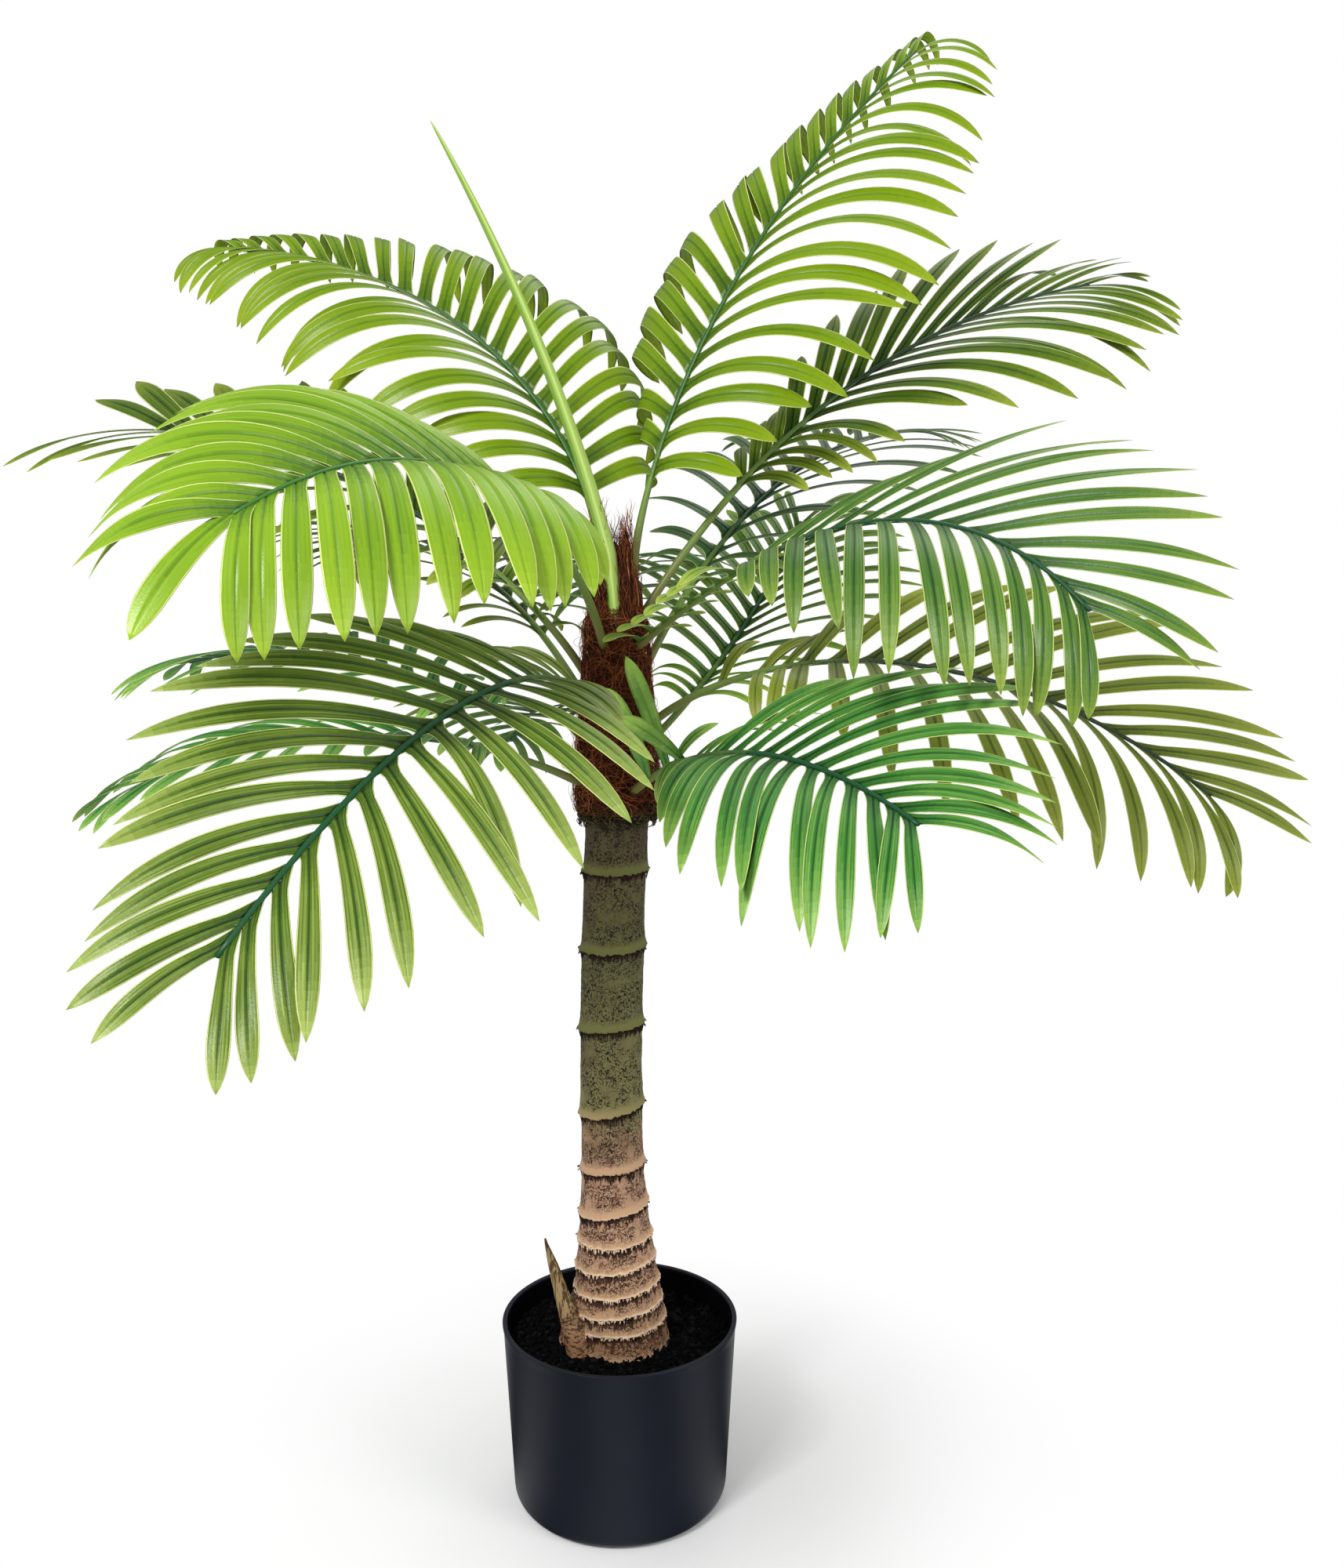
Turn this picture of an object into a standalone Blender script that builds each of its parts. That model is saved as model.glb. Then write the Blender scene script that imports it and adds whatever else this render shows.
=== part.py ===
"""Artificial areca palm in a round pot, about 1.1 m tall, as Blender objects in metres.

The origin is the middle of the pot's underside, +Z is up, +X is the right of the usual view
and -Y is its front. Sixteen feather fronds and an unopened spear leaf stand on a ringed trunk,
whose head is wrapped in coir fibre. Every frond is grown by one rule from its own few sizes.
"""
from math import cos, pi, radians, sin

import bmesh
import bpy
from mathutils import Vector
from mathutils.bvhtree import BVHTree

# Clearance between neighbouring pieces
GAP = 0.0003

# Pot and its filling
POT_HEIGHT = 0.140
POT_RIM_RADIUS = 0.090
POT_TOP_RADIUS = 0.0886
POT_FOOT_RADIUS = 0.0815
POT_FOOT_ROUNDING = 0.010
POT_WALL = 0.0030
POT_LIP = 0.0025
POT_LIP_FLARE = 0.0040
POT_SIDES = 40
SOIL_TOP = 0.122

# Trunk: height of its head, radii of its straight part, foot and head, and the heights of the
# leaf-scar rings, which crowd together towards the soil. It narrows to a waist above each ring.
TRUNK_TOP = 0.5275
TRUNK_RADIUS = 0.0246
TRUNK_FOOT_RADIUS = 0.0385
TRUNK_FLARE = 0.150
TRUNK_HEAD_RADIUS = 0.0232
TRUNK_WAIST = 0.0015
WAIST_RISE = 0.013
TRUNK_BOW = -0.0055
TRUNK_SIDES = 18
RING_HEIGHTS = (0.488, 0.430, 0.371, 0.307, 0.262, 0.229, 0.206, 0.187, 0.168, 0.153, 0.140)
RING_LIP = 0.0010
RING_BAND = 0.0035

# Side shoot, from its thick foot in the soil beside the trunk to its pointed tip: x, y, height
# and radius
SHOOT_STEPS = ((-0.0425, -0.0215, 0.1223, 0.0074), (-0.0408, -0.0208, 0.1400, 0.0074),
               (-0.0420, -0.0200, 0.1560, 0.0066), (-0.0450, -0.0192, 0.1700, 0.0050),
               (-0.0500, -0.0180, 0.1900, 0.0035), (-0.0554, -0.0170, 0.2100, 0.0011))

# Coir fibre wrap round the head of the trunk: height above the trunk and radius there
WRAP_STEPS = ((0.000, 0.0270), (0.012, 0.0305), (0.060, 0.0298), (0.105, 0.0282),
              (0.135, 0.0228), (0.172, 0.0205), (0.188, 0.0195))
WRAP_SIDES = 16

# Spear leaf: foot beside the middle of the wrap's top, length, and its lean from foot to tip
SPEAR_FOOT = (-0.001, -0.0115)
SPEAR_LENGTH = 0.310
SPEAR_AZIMUTH = 186.0
SPEAR_RISE = 75.0
SPEAR_END = 60.0
SPEAR_RADIUS = 0.0052
SPEAR_TIP_RADIUS = 0.0009

# Stalk and rib of a frond: width and thickness at the foot, at the first leaflets and at the tip
STALK_WIDTH = (0.0090, 0.0056, 0.0028)
STALK_THICK = (0.0070, 0.0044, 0.0024)
STALK_STATIONS = 5

# Leaflets
BLADE_THICK = 0.0020
BLADE_CROWDING = 0.92
ROOT_SHARE = 0.52
BLADE_SHAPE = ((0.0, 0.80), (0.40, 1.0), (0.72, 0.86), (1.0, 0.0))
LONGEST_AT = 0.35
TWISTED_AT = 0.60
CURLED = 100.0
CURL_STEPS = 5
PLAIN_STEPS = 3
CLEARANCE = 0.0036

# What a leaflet tries, in turn, where it would touch something: extra droop and share of length
TRIES = ((0, 1.0), (14, 1.0), (-14, 1.0), (28, 0.95), (-28, 0.95), (12, 0.80), (-12, 0.80),
         (40, 0.8), (0, 0.62), (25, 0.62), (-25, 0.62), (0, 0.45), (30, 0.45), (-30, 0.45))

# Sizes that a frond has unless its own line gives others. Angles are in degrees.
FROND = dict(
    foot=0.62,          # height of the stalk's foot
    azimuth=0.0,        # compass direction of the stalk, 0 at +X and 90 at +Y
    swing=0.0,          # how far the rib turns sideways from foot to tip
    rise=50.0,          # slope of the stalk at its foot
    dip=0.0,            # slope of the rib at its tip
    ease=1.0,           # under 1 bends near the foot, over 1 near the tip
    length=0.42,        # stalk and rib together
    bare=0.30,          # share of it without leaflets
    roll=0.0,           # turn of the blade about the rib
    spread=68.0,        # angle of the first leaflets to the rib
    close=28.0,         # angle of the last ones
    lean=(0.0, 0.0),    # how much further forward left and right leaflets point
    lift=(22.0, 14.0),  # how far left and right leaflets start above the blade's plane
    droop=(38.0, 45.0), # how far they bend over from root to tip
    late=(1.3, 1.3),    # over 1 bends them near their tips
    under=0.35,         # 0 bends them straight down, 1 towards the blade's underside
    twist=(16.0, 16.0), # how far their upper faces turn towards the frond's tip
    leaf=0.165,         # longest leaflet
    blade=0.0135,       # width of a leaflet at its widest
    first=0.50,         # first leaflets' share of that
    last=0.48,          # last leaflets' share
    count=15,           # leaflets on each side
)

# The fronds, from the top of the crown down
FRONDS = {
    "frond_left_high": dict(
        foot=None, azimuth=143, swing=23, rise=87, dip=6, ease=0.63, bare=0.12, roll=9,
        spread=76, close=36, lift=(18, 36), droop=(90, 150), late=(1.3, 2.4), under=0.8,
        twist=(10, 4), leaf=0.168, first=0.50, last=0.40, count=16),
    "frond_right_tall": dict(
        foot=None, azimuth=28, swing=-2, rise=83, dip=42, ease=0.64, length=0.452, bare=0.14,
        roll=-2, spread=70, lift=(27, 3), droop=(150, 80), late=(2.4, 1.1), under=0.8,
        twist=(4, 10), first=0.46, last=0.42, count=16),
    "frond_right_back": dict(
        foot=0.680, azimuth=24, swing=-7, rise=55, dip=11, ease=1.1, length=0.455, bare=0.38,
        roll=-18, spread=50, close=27, lean=(13, 0), lift=(24, 4), droop=(19, 46), twist=(16, 10),
        leaf=0.176, last=0.46, count=13),
    "frond_left_front": dict(
        foot=0.660, azimuth=248, swing=-6, rise=59, dip=-30, ease=0.8, length=0.416, roll=11,
        spread=65, close=20, lift=(8, 20), droop=(68, 66), twist=(30, 44), leaf=0.172,
        blade=0.0160),
    "frond_right_front": dict(
        foot=0.655, azimuth=-44, swing=-13, rise=31, dip=-40, ease=1.65, length=0.398, roll=-12,
        spread=52, close=30, lift=(27, 8), droop=(26, 70), under=0.43, twist=(14, 28), first=0.38,
        last=0.43, count=13),
    "frond_left_back": dict(
        foot=0.640, azimuth=165, swing=-1, rise=52, dip=2, ease=0.96, length=0.386, roll=8,
        spread=72, close=22, lift=(0, 29), droop=(36, 10), twist=(24, 24), leaf=0.150, last=0.80,
        blade=0.0145, count=13),
    "frond_back_right": dict(
        foot=0.632, azimuth=52, rise=52, dip=6, count=12),
    "frond_back": dict(
        foot=0.618, azimuth=96, rise=42, dip=-22, count=12),
    "frond_back_left": dict(
        foot=0.602, azimuth=128, rise=46, dip=-12, count=12),
    "frond_far_right": dict(
        foot=0.600, azimuth=-25, swing=-5, rise=38, dip=-36, ease=0.75, length=0.403, roll=-10,
        spread=72, lift=(26, 10), droop=(22, 60), twist=(20, 20), leaf=0.168, last=0.44,
        count=13),
    "frond_low_left_front": dict(
        foot=0.600, azimuth=257, swing=-12, rise=39, dip=-35, ease=0.6, length=0.477, roll=10,
        spread=65, lift=(9, 29), droop=(36, 32), under=0.43, twist=(22, 28), leaf=0.153,
        last=0.45),
    "frond_right_inner": dict(
        foot=0.572, azimuth=59, swing=7, rise=23, dip=38, length=0.354, bare=0.34, spread=58,
        count=13),
    "frond_low_right_front": dict(
        foot=0.552, azimuth=-63, swing=-4, rise=27, dip=-14, ease=0.83, length=0.356, bare=0.36,
        roll=-15, spread=52, lift=(37, 15), droop=(38, 56), twist=(20, 28), leaf=0.162,
        first=0.59, blade=0.0155, count=12),
    "frond_low_left_back": dict(
        foot=0.566, azimuth=160, swing=-6, rise=33, dip=-12, length=0.370, lift=(12, 19),
        droop=(50, 41), leaf=0.155, count=12),
    "frond_low_left": dict(
        foot=0.556, azimuth=206, rise=27, dip=-20, length=0.300, lift=(14, 18), leaf=0.132,
        count=12),
    "frond_low_back": dict(
        foot=0.556, azimuth=108, rise=24, dip=-28, length=0.355, leaf=0.150, count=12),
}

# Colour, roughness of each material
FINISHES = {
    "pot_black": ((0.012, 0.014, 0.018), 0.38),
    "soil_black": ((0.010, 0.009, 0.008), 0.95),
    "trunk_bark": ((0.23, 0.19, 0.10), 0.75),
    "coir_brown": ((0.13, 0.045, 0.018), 0.95),
    "leaf_bright": ((0.22, 0.42, 0.045), 0.45),
    "leaf_mid": ((0.10, 0.26, 0.07), 0.45),
    "leaf_dark": ((0.05, 0.14, 0.05), 0.45),
}
BRIGHT_FRONDS = ("frond_left_high", "frond_right_tall", "frond_left_front")
MID_FRONDS = ("frond_right_front", "frond_low_right_front", "frond_low_left_front", "frond_far_right")


def clear_scene():
    for obj in list(bpy.data.objects):
        bpy.data.objects.remove(obj, do_unlink=True)


def material(name):
    colour, roughness = FINISHES[name]
    mat = bpy.data.materials.get(name) or bpy.data.materials.new(name)
    mat.use_nodes = True
    shader = mat.node_tree.nodes["Principled BSDF"]
    shader.inputs["Base Color"].default_value = (*colour, 1.0)
    shader.inputs["Roughness"].default_value = roughness
    shader.inputs["Metallic"].default_value = 0.0
    return mat


def add_object(name, mesh, finish, parent=None):
    obj = bpy.data.objects.new(name, mesh)
    bpy.data.collections["potted_areca_palm"].objects.link(obj)
    mesh.materials.append(material(finish))
    obj.parent = parent
    return obj


def turned(name, profile, sides, finish):
    """A turned piece: its outline is (radius, height) points down its outer side."""
    bm = bmesh.new()
    points = [bm.verts.new((radius, 0.0, height)) for radius, height in profile]
    for upper, lower in zip(points, points[1:]):
        bm.edges.new((upper, lower))
    mesh = bpy.data.meshes.new(name)
    bm.to_mesh(mesh)
    bm.free()
    obj = add_object(name, mesh, finish)
    screw = obj.modifiers.new("turn", "SCREW")
    screw.steps = sides
    screw.render_steps = sides
    screw.use_merge_vertices = True
    screw.merge_threshold = 0.00002
    screw.use_normal_calculate = False
    return obj


def bake(obj):
    """Apply the object's modifiers to its mesh."""
    evaluated = obj.evaluated_get(bpy.context.evaluated_depsgraph_get())
    mesh = bpy.data.meshes.new_from_object(evaluated)
    obj.modifiers.clear()
    obj.data = mesh
    return mesh


def bow_at(height):
    """Sideways bow of the trunk's axis at a height above the soil."""
    share = (height - SOIL_TOP) / (TRUNK_TOP - SOIL_TOP)
    return TRUNK_BOW * sin(pi * min(max(share, 0.0), 1.0))


def make_pot():
    inner_top = POT_TOP_RADIUS - POT_WALL
    inner_foot = POT_FOOT_RADIUS - POT_WALL
    profile = [(0.0, POT_WALL), (inner_foot, POT_WALL), (inner_top, POT_HEIGHT - POT_LIP),
               (inner_top + 0.0005, POT_HEIGHT), (POT_RIM_RADIUS - 0.001, POT_HEIGHT),
               (POT_RIM_RADIUS, POT_HEIGHT - 0.001), (POT_RIM_RADIUS, POT_HEIGHT - POT_LIP),
               (POT_TOP_RADIUS, POT_HEIGHT - POT_LIP - POT_LIP_FLARE)]
    corner = POT_FOOT_RADIUS - POT_FOOT_ROUNDING
    for step in range(4):
        angle = radians(30 * step)
        profile.append((corner + POT_FOOT_ROUNDING * cos(angle),
                        POT_FOOT_ROUNDING * (1 - sin(angle))))
    profile.append((0.0, 0.0))
    return turned("pot", profile, POT_SIDES, "pot_black")


def make_soil():
    wall_run = (POT_TOP_RADIUS - POT_FOOT_RADIUS) / (POT_HEIGHT - POT_LIP - POT_WALL)
    foot = POT_FOOT_RADIUS - POT_WALL - 2 * GAP
    top = foot + wall_run * (SOIL_TOP - POT_WALL)
    profile = [(0.0, SOIL_TOP), (top, SOIL_TOP), (foot, POT_WALL + GAP), (0.0, POT_WALL + GAP)]
    return turned("soil", profile, POT_SIDES, "soil_black")


def trunk_radius(height):
    """Straight above, flared towards the soil."""
    share = min(max((SOIL_TOP + TRUNK_FLARE - height) / TRUNK_FLARE, 0.0), 1.0)
    return TRUNK_RADIUS + (TRUNK_FOOT_RADIUS - TRUNK_RADIUS) * share ** 1.5


def make_trunk():
    profile = [(0.0, TRUNK_TOP), (TRUNK_HEAD_RADIUS, TRUNK_TOP)]
    above = TRUNK_TOP
    for height in RING_HEIGHTS:
        radius = trunk_radius(height)
        if above - height > 1.5 * WAIST_RISE:
            profile.append((radius - TRUNK_WAIST, height + WAIST_RISE))
        profile += [(radius, height + RING_BAND), (radius + RING_LIP, height),
                    (radius - TRUNK_WAIST, height - 0.3 * RING_BAND)]
        above = height
    base = SOIL_TOP + GAP
    profile += [(TRUNK_FOOT_RADIUS, base), (0.0, base)]
    trunk = turned("trunk", profile, TRUNK_SIDES, "trunk_bark")
    for vertex in bake(trunk).vertices:
        vertex.co.x += bow_at(vertex.co.z)
    return trunk


def tapered_rod(name, path, radii, sides, finish):
    """A closed round rod through a path, from lofted rings."""
    bm = bmesh.new()
    rings = []
    for index, (point, radius) in enumerate(zip(path, radii)):
        ahead = path[min(index + 1, len(path) - 1)] - path[max(index - 1, 0)]
        across = ahead.cross(Vector((0, 1, 0))).normalized()
        other = ahead.normalized().cross(across)
        ring = []
        for step in range(sides):
            angle = 2 * pi * step / sides
            ring.append(bm.verts.new(point + radius * (cos(angle) * across + sin(angle) * other)))
        for a, b in zip(ring, ring[1:] + ring[:1]):
            bm.edges.new((a, b))
        rings.append(ring)
    edges = list(bm.edges)
    bmesh.ops.bridge_loops(bm, edges=edges)
    bmesh.ops.holes_fill(bm, edges=bm.edges, sides=0)
    bmesh.ops.recalc_face_normals(bm, faces=bm.faces)
    mesh = bpy.data.meshes.new(name)
    bm.to_mesh(mesh)
    bm.free()
    return add_object(name, mesh, finish)


def make_side_shoot():
    path = [Vector(step[:3]) for step in SHOOT_STEPS]
    radii = [step[3] for step in SHOOT_STEPS]
    path[0].z += radii[0] * sin((path[1] - path[0]).angle(Vector((0, 0, 1))))
    return tapered_rod("side_shoot", path, radii, 10, "trunk_bark")


def wrap_radius(height):
    steps = [(TRUNK_TOP + GAP + rise, radius) for rise, radius in WRAP_STEPS]
    for (low, first), (high, second) in zip(steps, steps[1:]):
        if height <= high:
            share = (height - low) / (high - low)
            return first + (second - first) * max(share, 0.0)
    return steps[-1][1]


def wrap_top():
    return TRUNK_TOP + GAP + WRAP_STEPS[-1][0]


def make_wrap():
    outline = [(radius, TRUNK_TOP + GAP + rise) for rise, radius in reversed(WRAP_STEPS)]
    profile = [(0.0, outline[0][1])] + outline + [(0.0, outline[-1][1])]
    return turned("fibre_wrap", profile, WRAP_SIDES, "coir_brown")


def make_spear():
    steps = 6
    point = Vector((*SPEAR_FOOT, wrap_top() + GAP + SPEAR_RADIUS * cos(radians(SPEAR_RISE))))
    path, radii = [point], [SPEAR_RADIUS]
    for step in range(steps):
        share = (step + 0.5) / steps
        slope = radians(SPEAR_RISE + (SPEAR_END - SPEAR_RISE) * share)
        heading = radians(SPEAR_AZIMUTH)
        ahead = Vector((cos(slope) * cos(heading), cos(slope) * sin(heading), sin(slope)))
        path.append(path[-1] + ahead * SPEAR_LENGTH / steps)
        radii.append(SPEAR_RADIUS + (SPEAR_TIP_RADIUS - SPEAR_RADIUS) * (step + 1) / steps)
    return tapered_rod("spear_leaf", path, radii, 8, "leaf_bright")


def between(values, share):
    """Value at a share of the way along evenly spaced values."""
    place = min(max(share, 0.0), 1.0) * (len(values) - 1)
    index = min(int(place), len(values) - 2)
    return values[index] + (values[index + 1] - values[index]) * (place - index)


def rib_size(sizes, frond, share):
    """Foot, first leaflets and tip sizes, read at a share of the length."""
    if share < frond["bare"]:
        return between(sizes[:2], share / frond["bare"])
    return between(sizes[1:], (share - frond["bare"]) / (1 - frond["bare"]))


def slope_at(frond, share):
    return radians(frond["rise"] + (frond["dip"] - frond["rise"]) * share ** frond["ease"])


def rib_axes(frond, share):
    """Direction of the rib, and of the blade's upper face and left side, at a share of it."""
    slope = slope_at(frond, share)
    heading = radians(frond["azimuth"] + frond["swing"] * share)
    ahead = Vector((cos(slope) * cos(heading), cos(slope) * sin(heading), sin(slope)))
    face = Vector((-sin(slope) * cos(heading), -sin(slope) * sin(heading), cos(slope)))
    side = face.cross(ahead)
    roll = radians(frond["roll"]) * min(share / frond["bare"], 1.0)
    return ahead, face * cos(roll) + side * sin(roll), side * cos(roll) - face * sin(roll)


def foot_point(frond):
    """The stalk's foot, on the wrap's flank or on its top."""
    heading = radians(frond["azimuth"])
    slope = slope_at(frond, frond["bare"] / STALK_STATIONS / 2)
    half = STALK_THICK[0] / 2
    if frond["foot"] is None:
        radius = wrap_radius(wrap_top()) - half - 3 * GAP
        height = wrap_top() + GAP + half * cos(slope)
    else:
        height = frond["foot"]
        radius = wrap_radius(height + half * cos(slope)) + GAP + half * sin(slope)
    return Vector((radius * cos(heading), radius * sin(heading), height))


def rib_points(frond, fine=60):
    """Closely spaced points along the rib, foot first."""
    points = [foot_point(frond)]
    for step in range(fine):
        ahead = rib_axes(frond, (step + 0.5) / fine)[0]
        points.append(points[-1] + ahead * frond["length"] / fine)
    return points


def leaflet_length(frond, place):
    """Short at the first leaflets, longest at a third, short again at the tip."""
    rise = frond["first"] + (1 - frond["first"]) * sin(pi / 2 * min(place / LONGEST_AT, 1.0))
    fall = max(place - LONGEST_AT, 0.0) / (1 - LONGEST_AT)
    return frond["leaf"] * rise * (1 - (1 - frond["last"]) * fall ** 1.5)


def blade_share(t):
    """Width of a leaflet at a share of its length, against its widest."""
    for (low, first), (high, second) in zip(BLADE_SHAPE, BLADE_SHAPE[1:]):
        if t <= high:
            return first + (second - first) * (t - low) / (high - low)
    return 0.0


def leaflet_room(frond, angle, length):
    """Distance between a leaflet and the next, half-way out, where they have spread apart."""
    gaps = frond["count"] - 1
    spread_apart = radians(frond["spread"] - frond["close"]) / gaps
    return frond["length"] * (1 - frond["bare"]) / gaps * sin(angle) + spread_apart * length / 2


def leaflet_sections(frond, root, share, place, side_sign, more_droop, cut):
    """Pairs of edge points across a leaflet from its root outwards, the last pair at its tip."""
    which = 0 if side_sign > 0 else 1
    ahead, face, side = rib_axes(frond, share)
    angle = frond["spread"] + (frond["close"] - frond["spread"]) * place - frond["lean"][which]
    angle = radians(angle)
    lift = radians(frond["lift"][which])
    start = cos(angle) * ahead + sin(angle) * (cos(lift) * side * side_sign + sin(lift) * face)
    pull = -frond["under"] * face + (1 - frond["under"]) * Vector((0, 0, -1))
    pull.normalize()
    pull = (pull - pull.dot(start) * start).normalized()
    droop = frond["droop"][which]
    steps = CURL_STEPS if droop > CURLED else PLAIN_STEPS
    droop = radians(droop + more_droop)
    twist = radians(frond["twist"][which])
    length = leaflet_length(frond, place) * cut
    width = min(frond["blade"], BLADE_CROWDING * leaflet_room(frond, angle, length))
    half_rib = rib_size(STALK_WIDTH, frond, share) / 2
    point = root + side * side_sign * half_rib
    sections = []
    parts = 4
    for step in range(steps * parts):
        middle = (step + 0.5) / (steps * parts)
        turn = droop * middle ** frond["late"][which]
        along = start * cos(turn) + pull * sin(turn)
        point = point + along * length / (steps * parts)
        if (step + 1) % parts == 0:
            reach = (step + 1) / (steps * parts)
            across = (ahead - ahead.dot(along) * along).normalized()
            up = across.cross(along) * side_sign
            lean = twist * sin(pi / 2 * min(reach / TWISTED_AT, 1.0))
            across = across * cos(lean) - up * sin(lean)
            half = width / 2 * blade_share(reach)
            sections.append((point - across * half, point + across * half))
    return sections


def tree_of(quads):
    verts, faces = [], []
    for quad in quads:
        faces.append(tuple(range(len(verts), len(verts) + len(quad))))
        verts += quad
    return BVHTree.FromPolygons(verts, faces)


def leaf_quads(root_pair, sections):
    pairs = [root_pair] + sections
    return [(a[0], a[1], b[1], b[0]) for a, b in zip(pairs, pairs[1:])]


def is_clear(quads, world):
    """True where a leaflet neither crosses what is already there nor comes too near it."""
    if world.overlap(tree_of(quads)):
        return False
    for index, (a, b, c, d) in enumerate(quads):
        for step in range(1, 6):
            t = step / 5
            left, right = a.lerp(d, t), b.lerp(c, t)
            for point in (left, right, left.lerp(right, 0.5)):
                near = world.find_nearest(point, CLEARANCE)
                if near[0] is not None:
                    return False
    return True


class Frond:
    """One frond's rib stations and leaflets, before it is a mesh."""

    def __init__(self, name, own):
        self.name = name
        self.sizes = {**FROND, **own}
        self.points = rib_points(self.sizes)
        self.leaflets = []
        self.stations = [self.sizes["bare"] * k / STALK_STATIONS for k in range(STALK_STATIONS)]
        count = self.sizes["count"]
        spacing = (1 - self.sizes["bare"]) / (count - 1)
        root = spacing * ROOT_SHARE
        self.places = []
        for k in range(count):
            middle = self.sizes["bare"] + spacing * k
            if k == count - 1:
                middle = 1 - root / 2
            self.places.append((middle, k / (count - 1), len(self.stations)))
            self.stations += [middle - root / 2, middle + root / 2]

    def at(self, share):
        return between(self.points, share)

    def edge(self, share, side_sign):
        side = rib_axes(self.sizes, share)[2]
        return self.at(share) + side * side_sign * rib_size(STALK_WIDTH, self.sizes, share) / 2

    def rib_quads(self):
        rows = [(self.edge(s, 1), self.edge(s, -1)) for s in self.stations]
        return [(a[0], a[1], b[1], b[0]) for a, b in zip(rows, rows[1:])]

    def grow(self, world):
        """Add each leaflet that finds room, and return the quads of them all."""
        whole, grown = [], []
        for middle, place, station in self.places:
            for side_sign in (1, -1):
                pair = (self.edge(self.stations[station], side_sign),
                        self.edge(self.stations[station + 1], side_sign))
                for more_droop, cut in TRIES:
                    sections = leaflet_sections(self.sizes, self.at(middle), middle, place,
                                                side_sign, more_droop, cut)
                    leaf = leaf_quads(pair, sections)
                    outer = leaf[1:]
                    own = tree_of(grown) if grown else None
                    if is_clear(leaf, world) and not (own and own.overlap(tree_of(outer))):
                        self.leaflets.append((station, side_sign, sections))
                        whole += leaf
                        grown += outer
                        break
        return whole + self.rib_quads()

    def build(self, finish):
        bm = bmesh.new()
        weight = bm.verts.layers.deform.verify()
        thickest = STALK_THICK[0]
        rows = []
        for share in self.stations:
            thick = rib_size(STALK_THICK, self.sizes, share)
            row = []
            for side_sign in (1, -1):
                vertex = bm.verts.new(self.edge(share, side_sign))
                vertex[weight][0] = thick / thickest
                row.append(vertex)
            rows.append(row)
        for a, b in zip(rows, rows[1:]):
            bm.faces.new((a[0], a[1], b[1], b[0]))
        for station, side_sign, sections in self.leaflets:
            column = 0 if side_sign > 0 else 1
            first, second = rows[station][column], rows[station + 1][column]
            for index, (near, far) in enumerate(sections):
                edge = bm.edges.get((first, second))
                made = bmesh.ops.extrude_edge_only(bm, edges=[edge])["geom"]
                fresh = [item for item in made if isinstance(item, bmesh.types.BMVert)]
                fresh.sort(key=lambda vertex: (vertex.co - first.co).length)
                fresh[0].co, fresh[1].co = near, far
                for vertex in fresh:
                    vertex[weight][0] = BLADE_THICK / thickest
                first, second = fresh
            bmesh.ops.pointmerge(bm, verts=[first, second], merge_co=sections[-1][0])
        bmesh.ops.recalc_face_normals(bm, faces=bm.faces)
        mesh = bpy.data.meshes.new(self.name)
        bm.to_mesh(mesh)
        bm.free()
        obj = add_object(self.name, mesh, finish)
        obj.vertex_groups.new(name="thickness")
        solid = obj.modifiers.new("thickness", "SOLIDIFY")
        solid.thickness = thickest
        solid.offset = 0.0
        solid.vertex_group = "thickness"
        solid.thickness_vertex_group = 0.0
        return obj


def mesh_quads(obj):
    """The faces of an object as it is displayed, for testing leaflets against."""
    evaluated = obj.evaluated_get(bpy.context.evaluated_depsgraph_get())
    mesh = evaluated.to_mesh()
    quads = [tuple(mesh.vertices[i].co.copy() for i in face.vertices) for face in mesh.polygons]
    evaluated.to_mesh_clear()
    return quads


def finish_of(name):
    if name in BRIGHT_FRONDS:
        return "leaf_bright"
    return "leaf_mid" if name in MID_FRONDS else "leaf_dark"


def make_fronds(solids):
    fronds = [Frond(name, own) for name, own in FRONDS.items()]
    ribs = {frond.name: frond.rib_quads() for frond in fronds}
    bpy.context.view_layer.update()
    taken = [quad for obj in solids for quad in mesh_quads(obj)]
    for frond in fronds:
        others = [quad for name, quads in ribs.items() if name != frond.name for quad in quads]
        taken += frond.grow(tree_of(taken + others))
        frond.build(finish_of(frond.name))


def main():
    clear_scene()
    collection = bpy.data.collections.new("potted_areca_palm")
    bpy.context.scene.collection.children.link(collection)
    make_pot()
    make_soil()
    solids = [make_trunk(), make_wrap(), make_side_shoot(), make_spear()]
    make_fronds(solids)


main()
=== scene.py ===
"""Looks of the artificial areca palm: fine fronds, ringed trunk, coir wrap, crumbs and pot.

Everything is in metres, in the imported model's frame: the origin is the middle of the pot's
underside, +Z is up, +X is the right of the usual view and -Y is its front. Angles are in
degrees. Colours are red, green and blue out of 255, as they show in daylight.
"""
import random
from math import cos, pi, radians, sin

import bmesh
import bpy
import numpy as np
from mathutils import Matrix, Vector, noise
from mathutils.bvhtree import BVHTree


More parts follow.
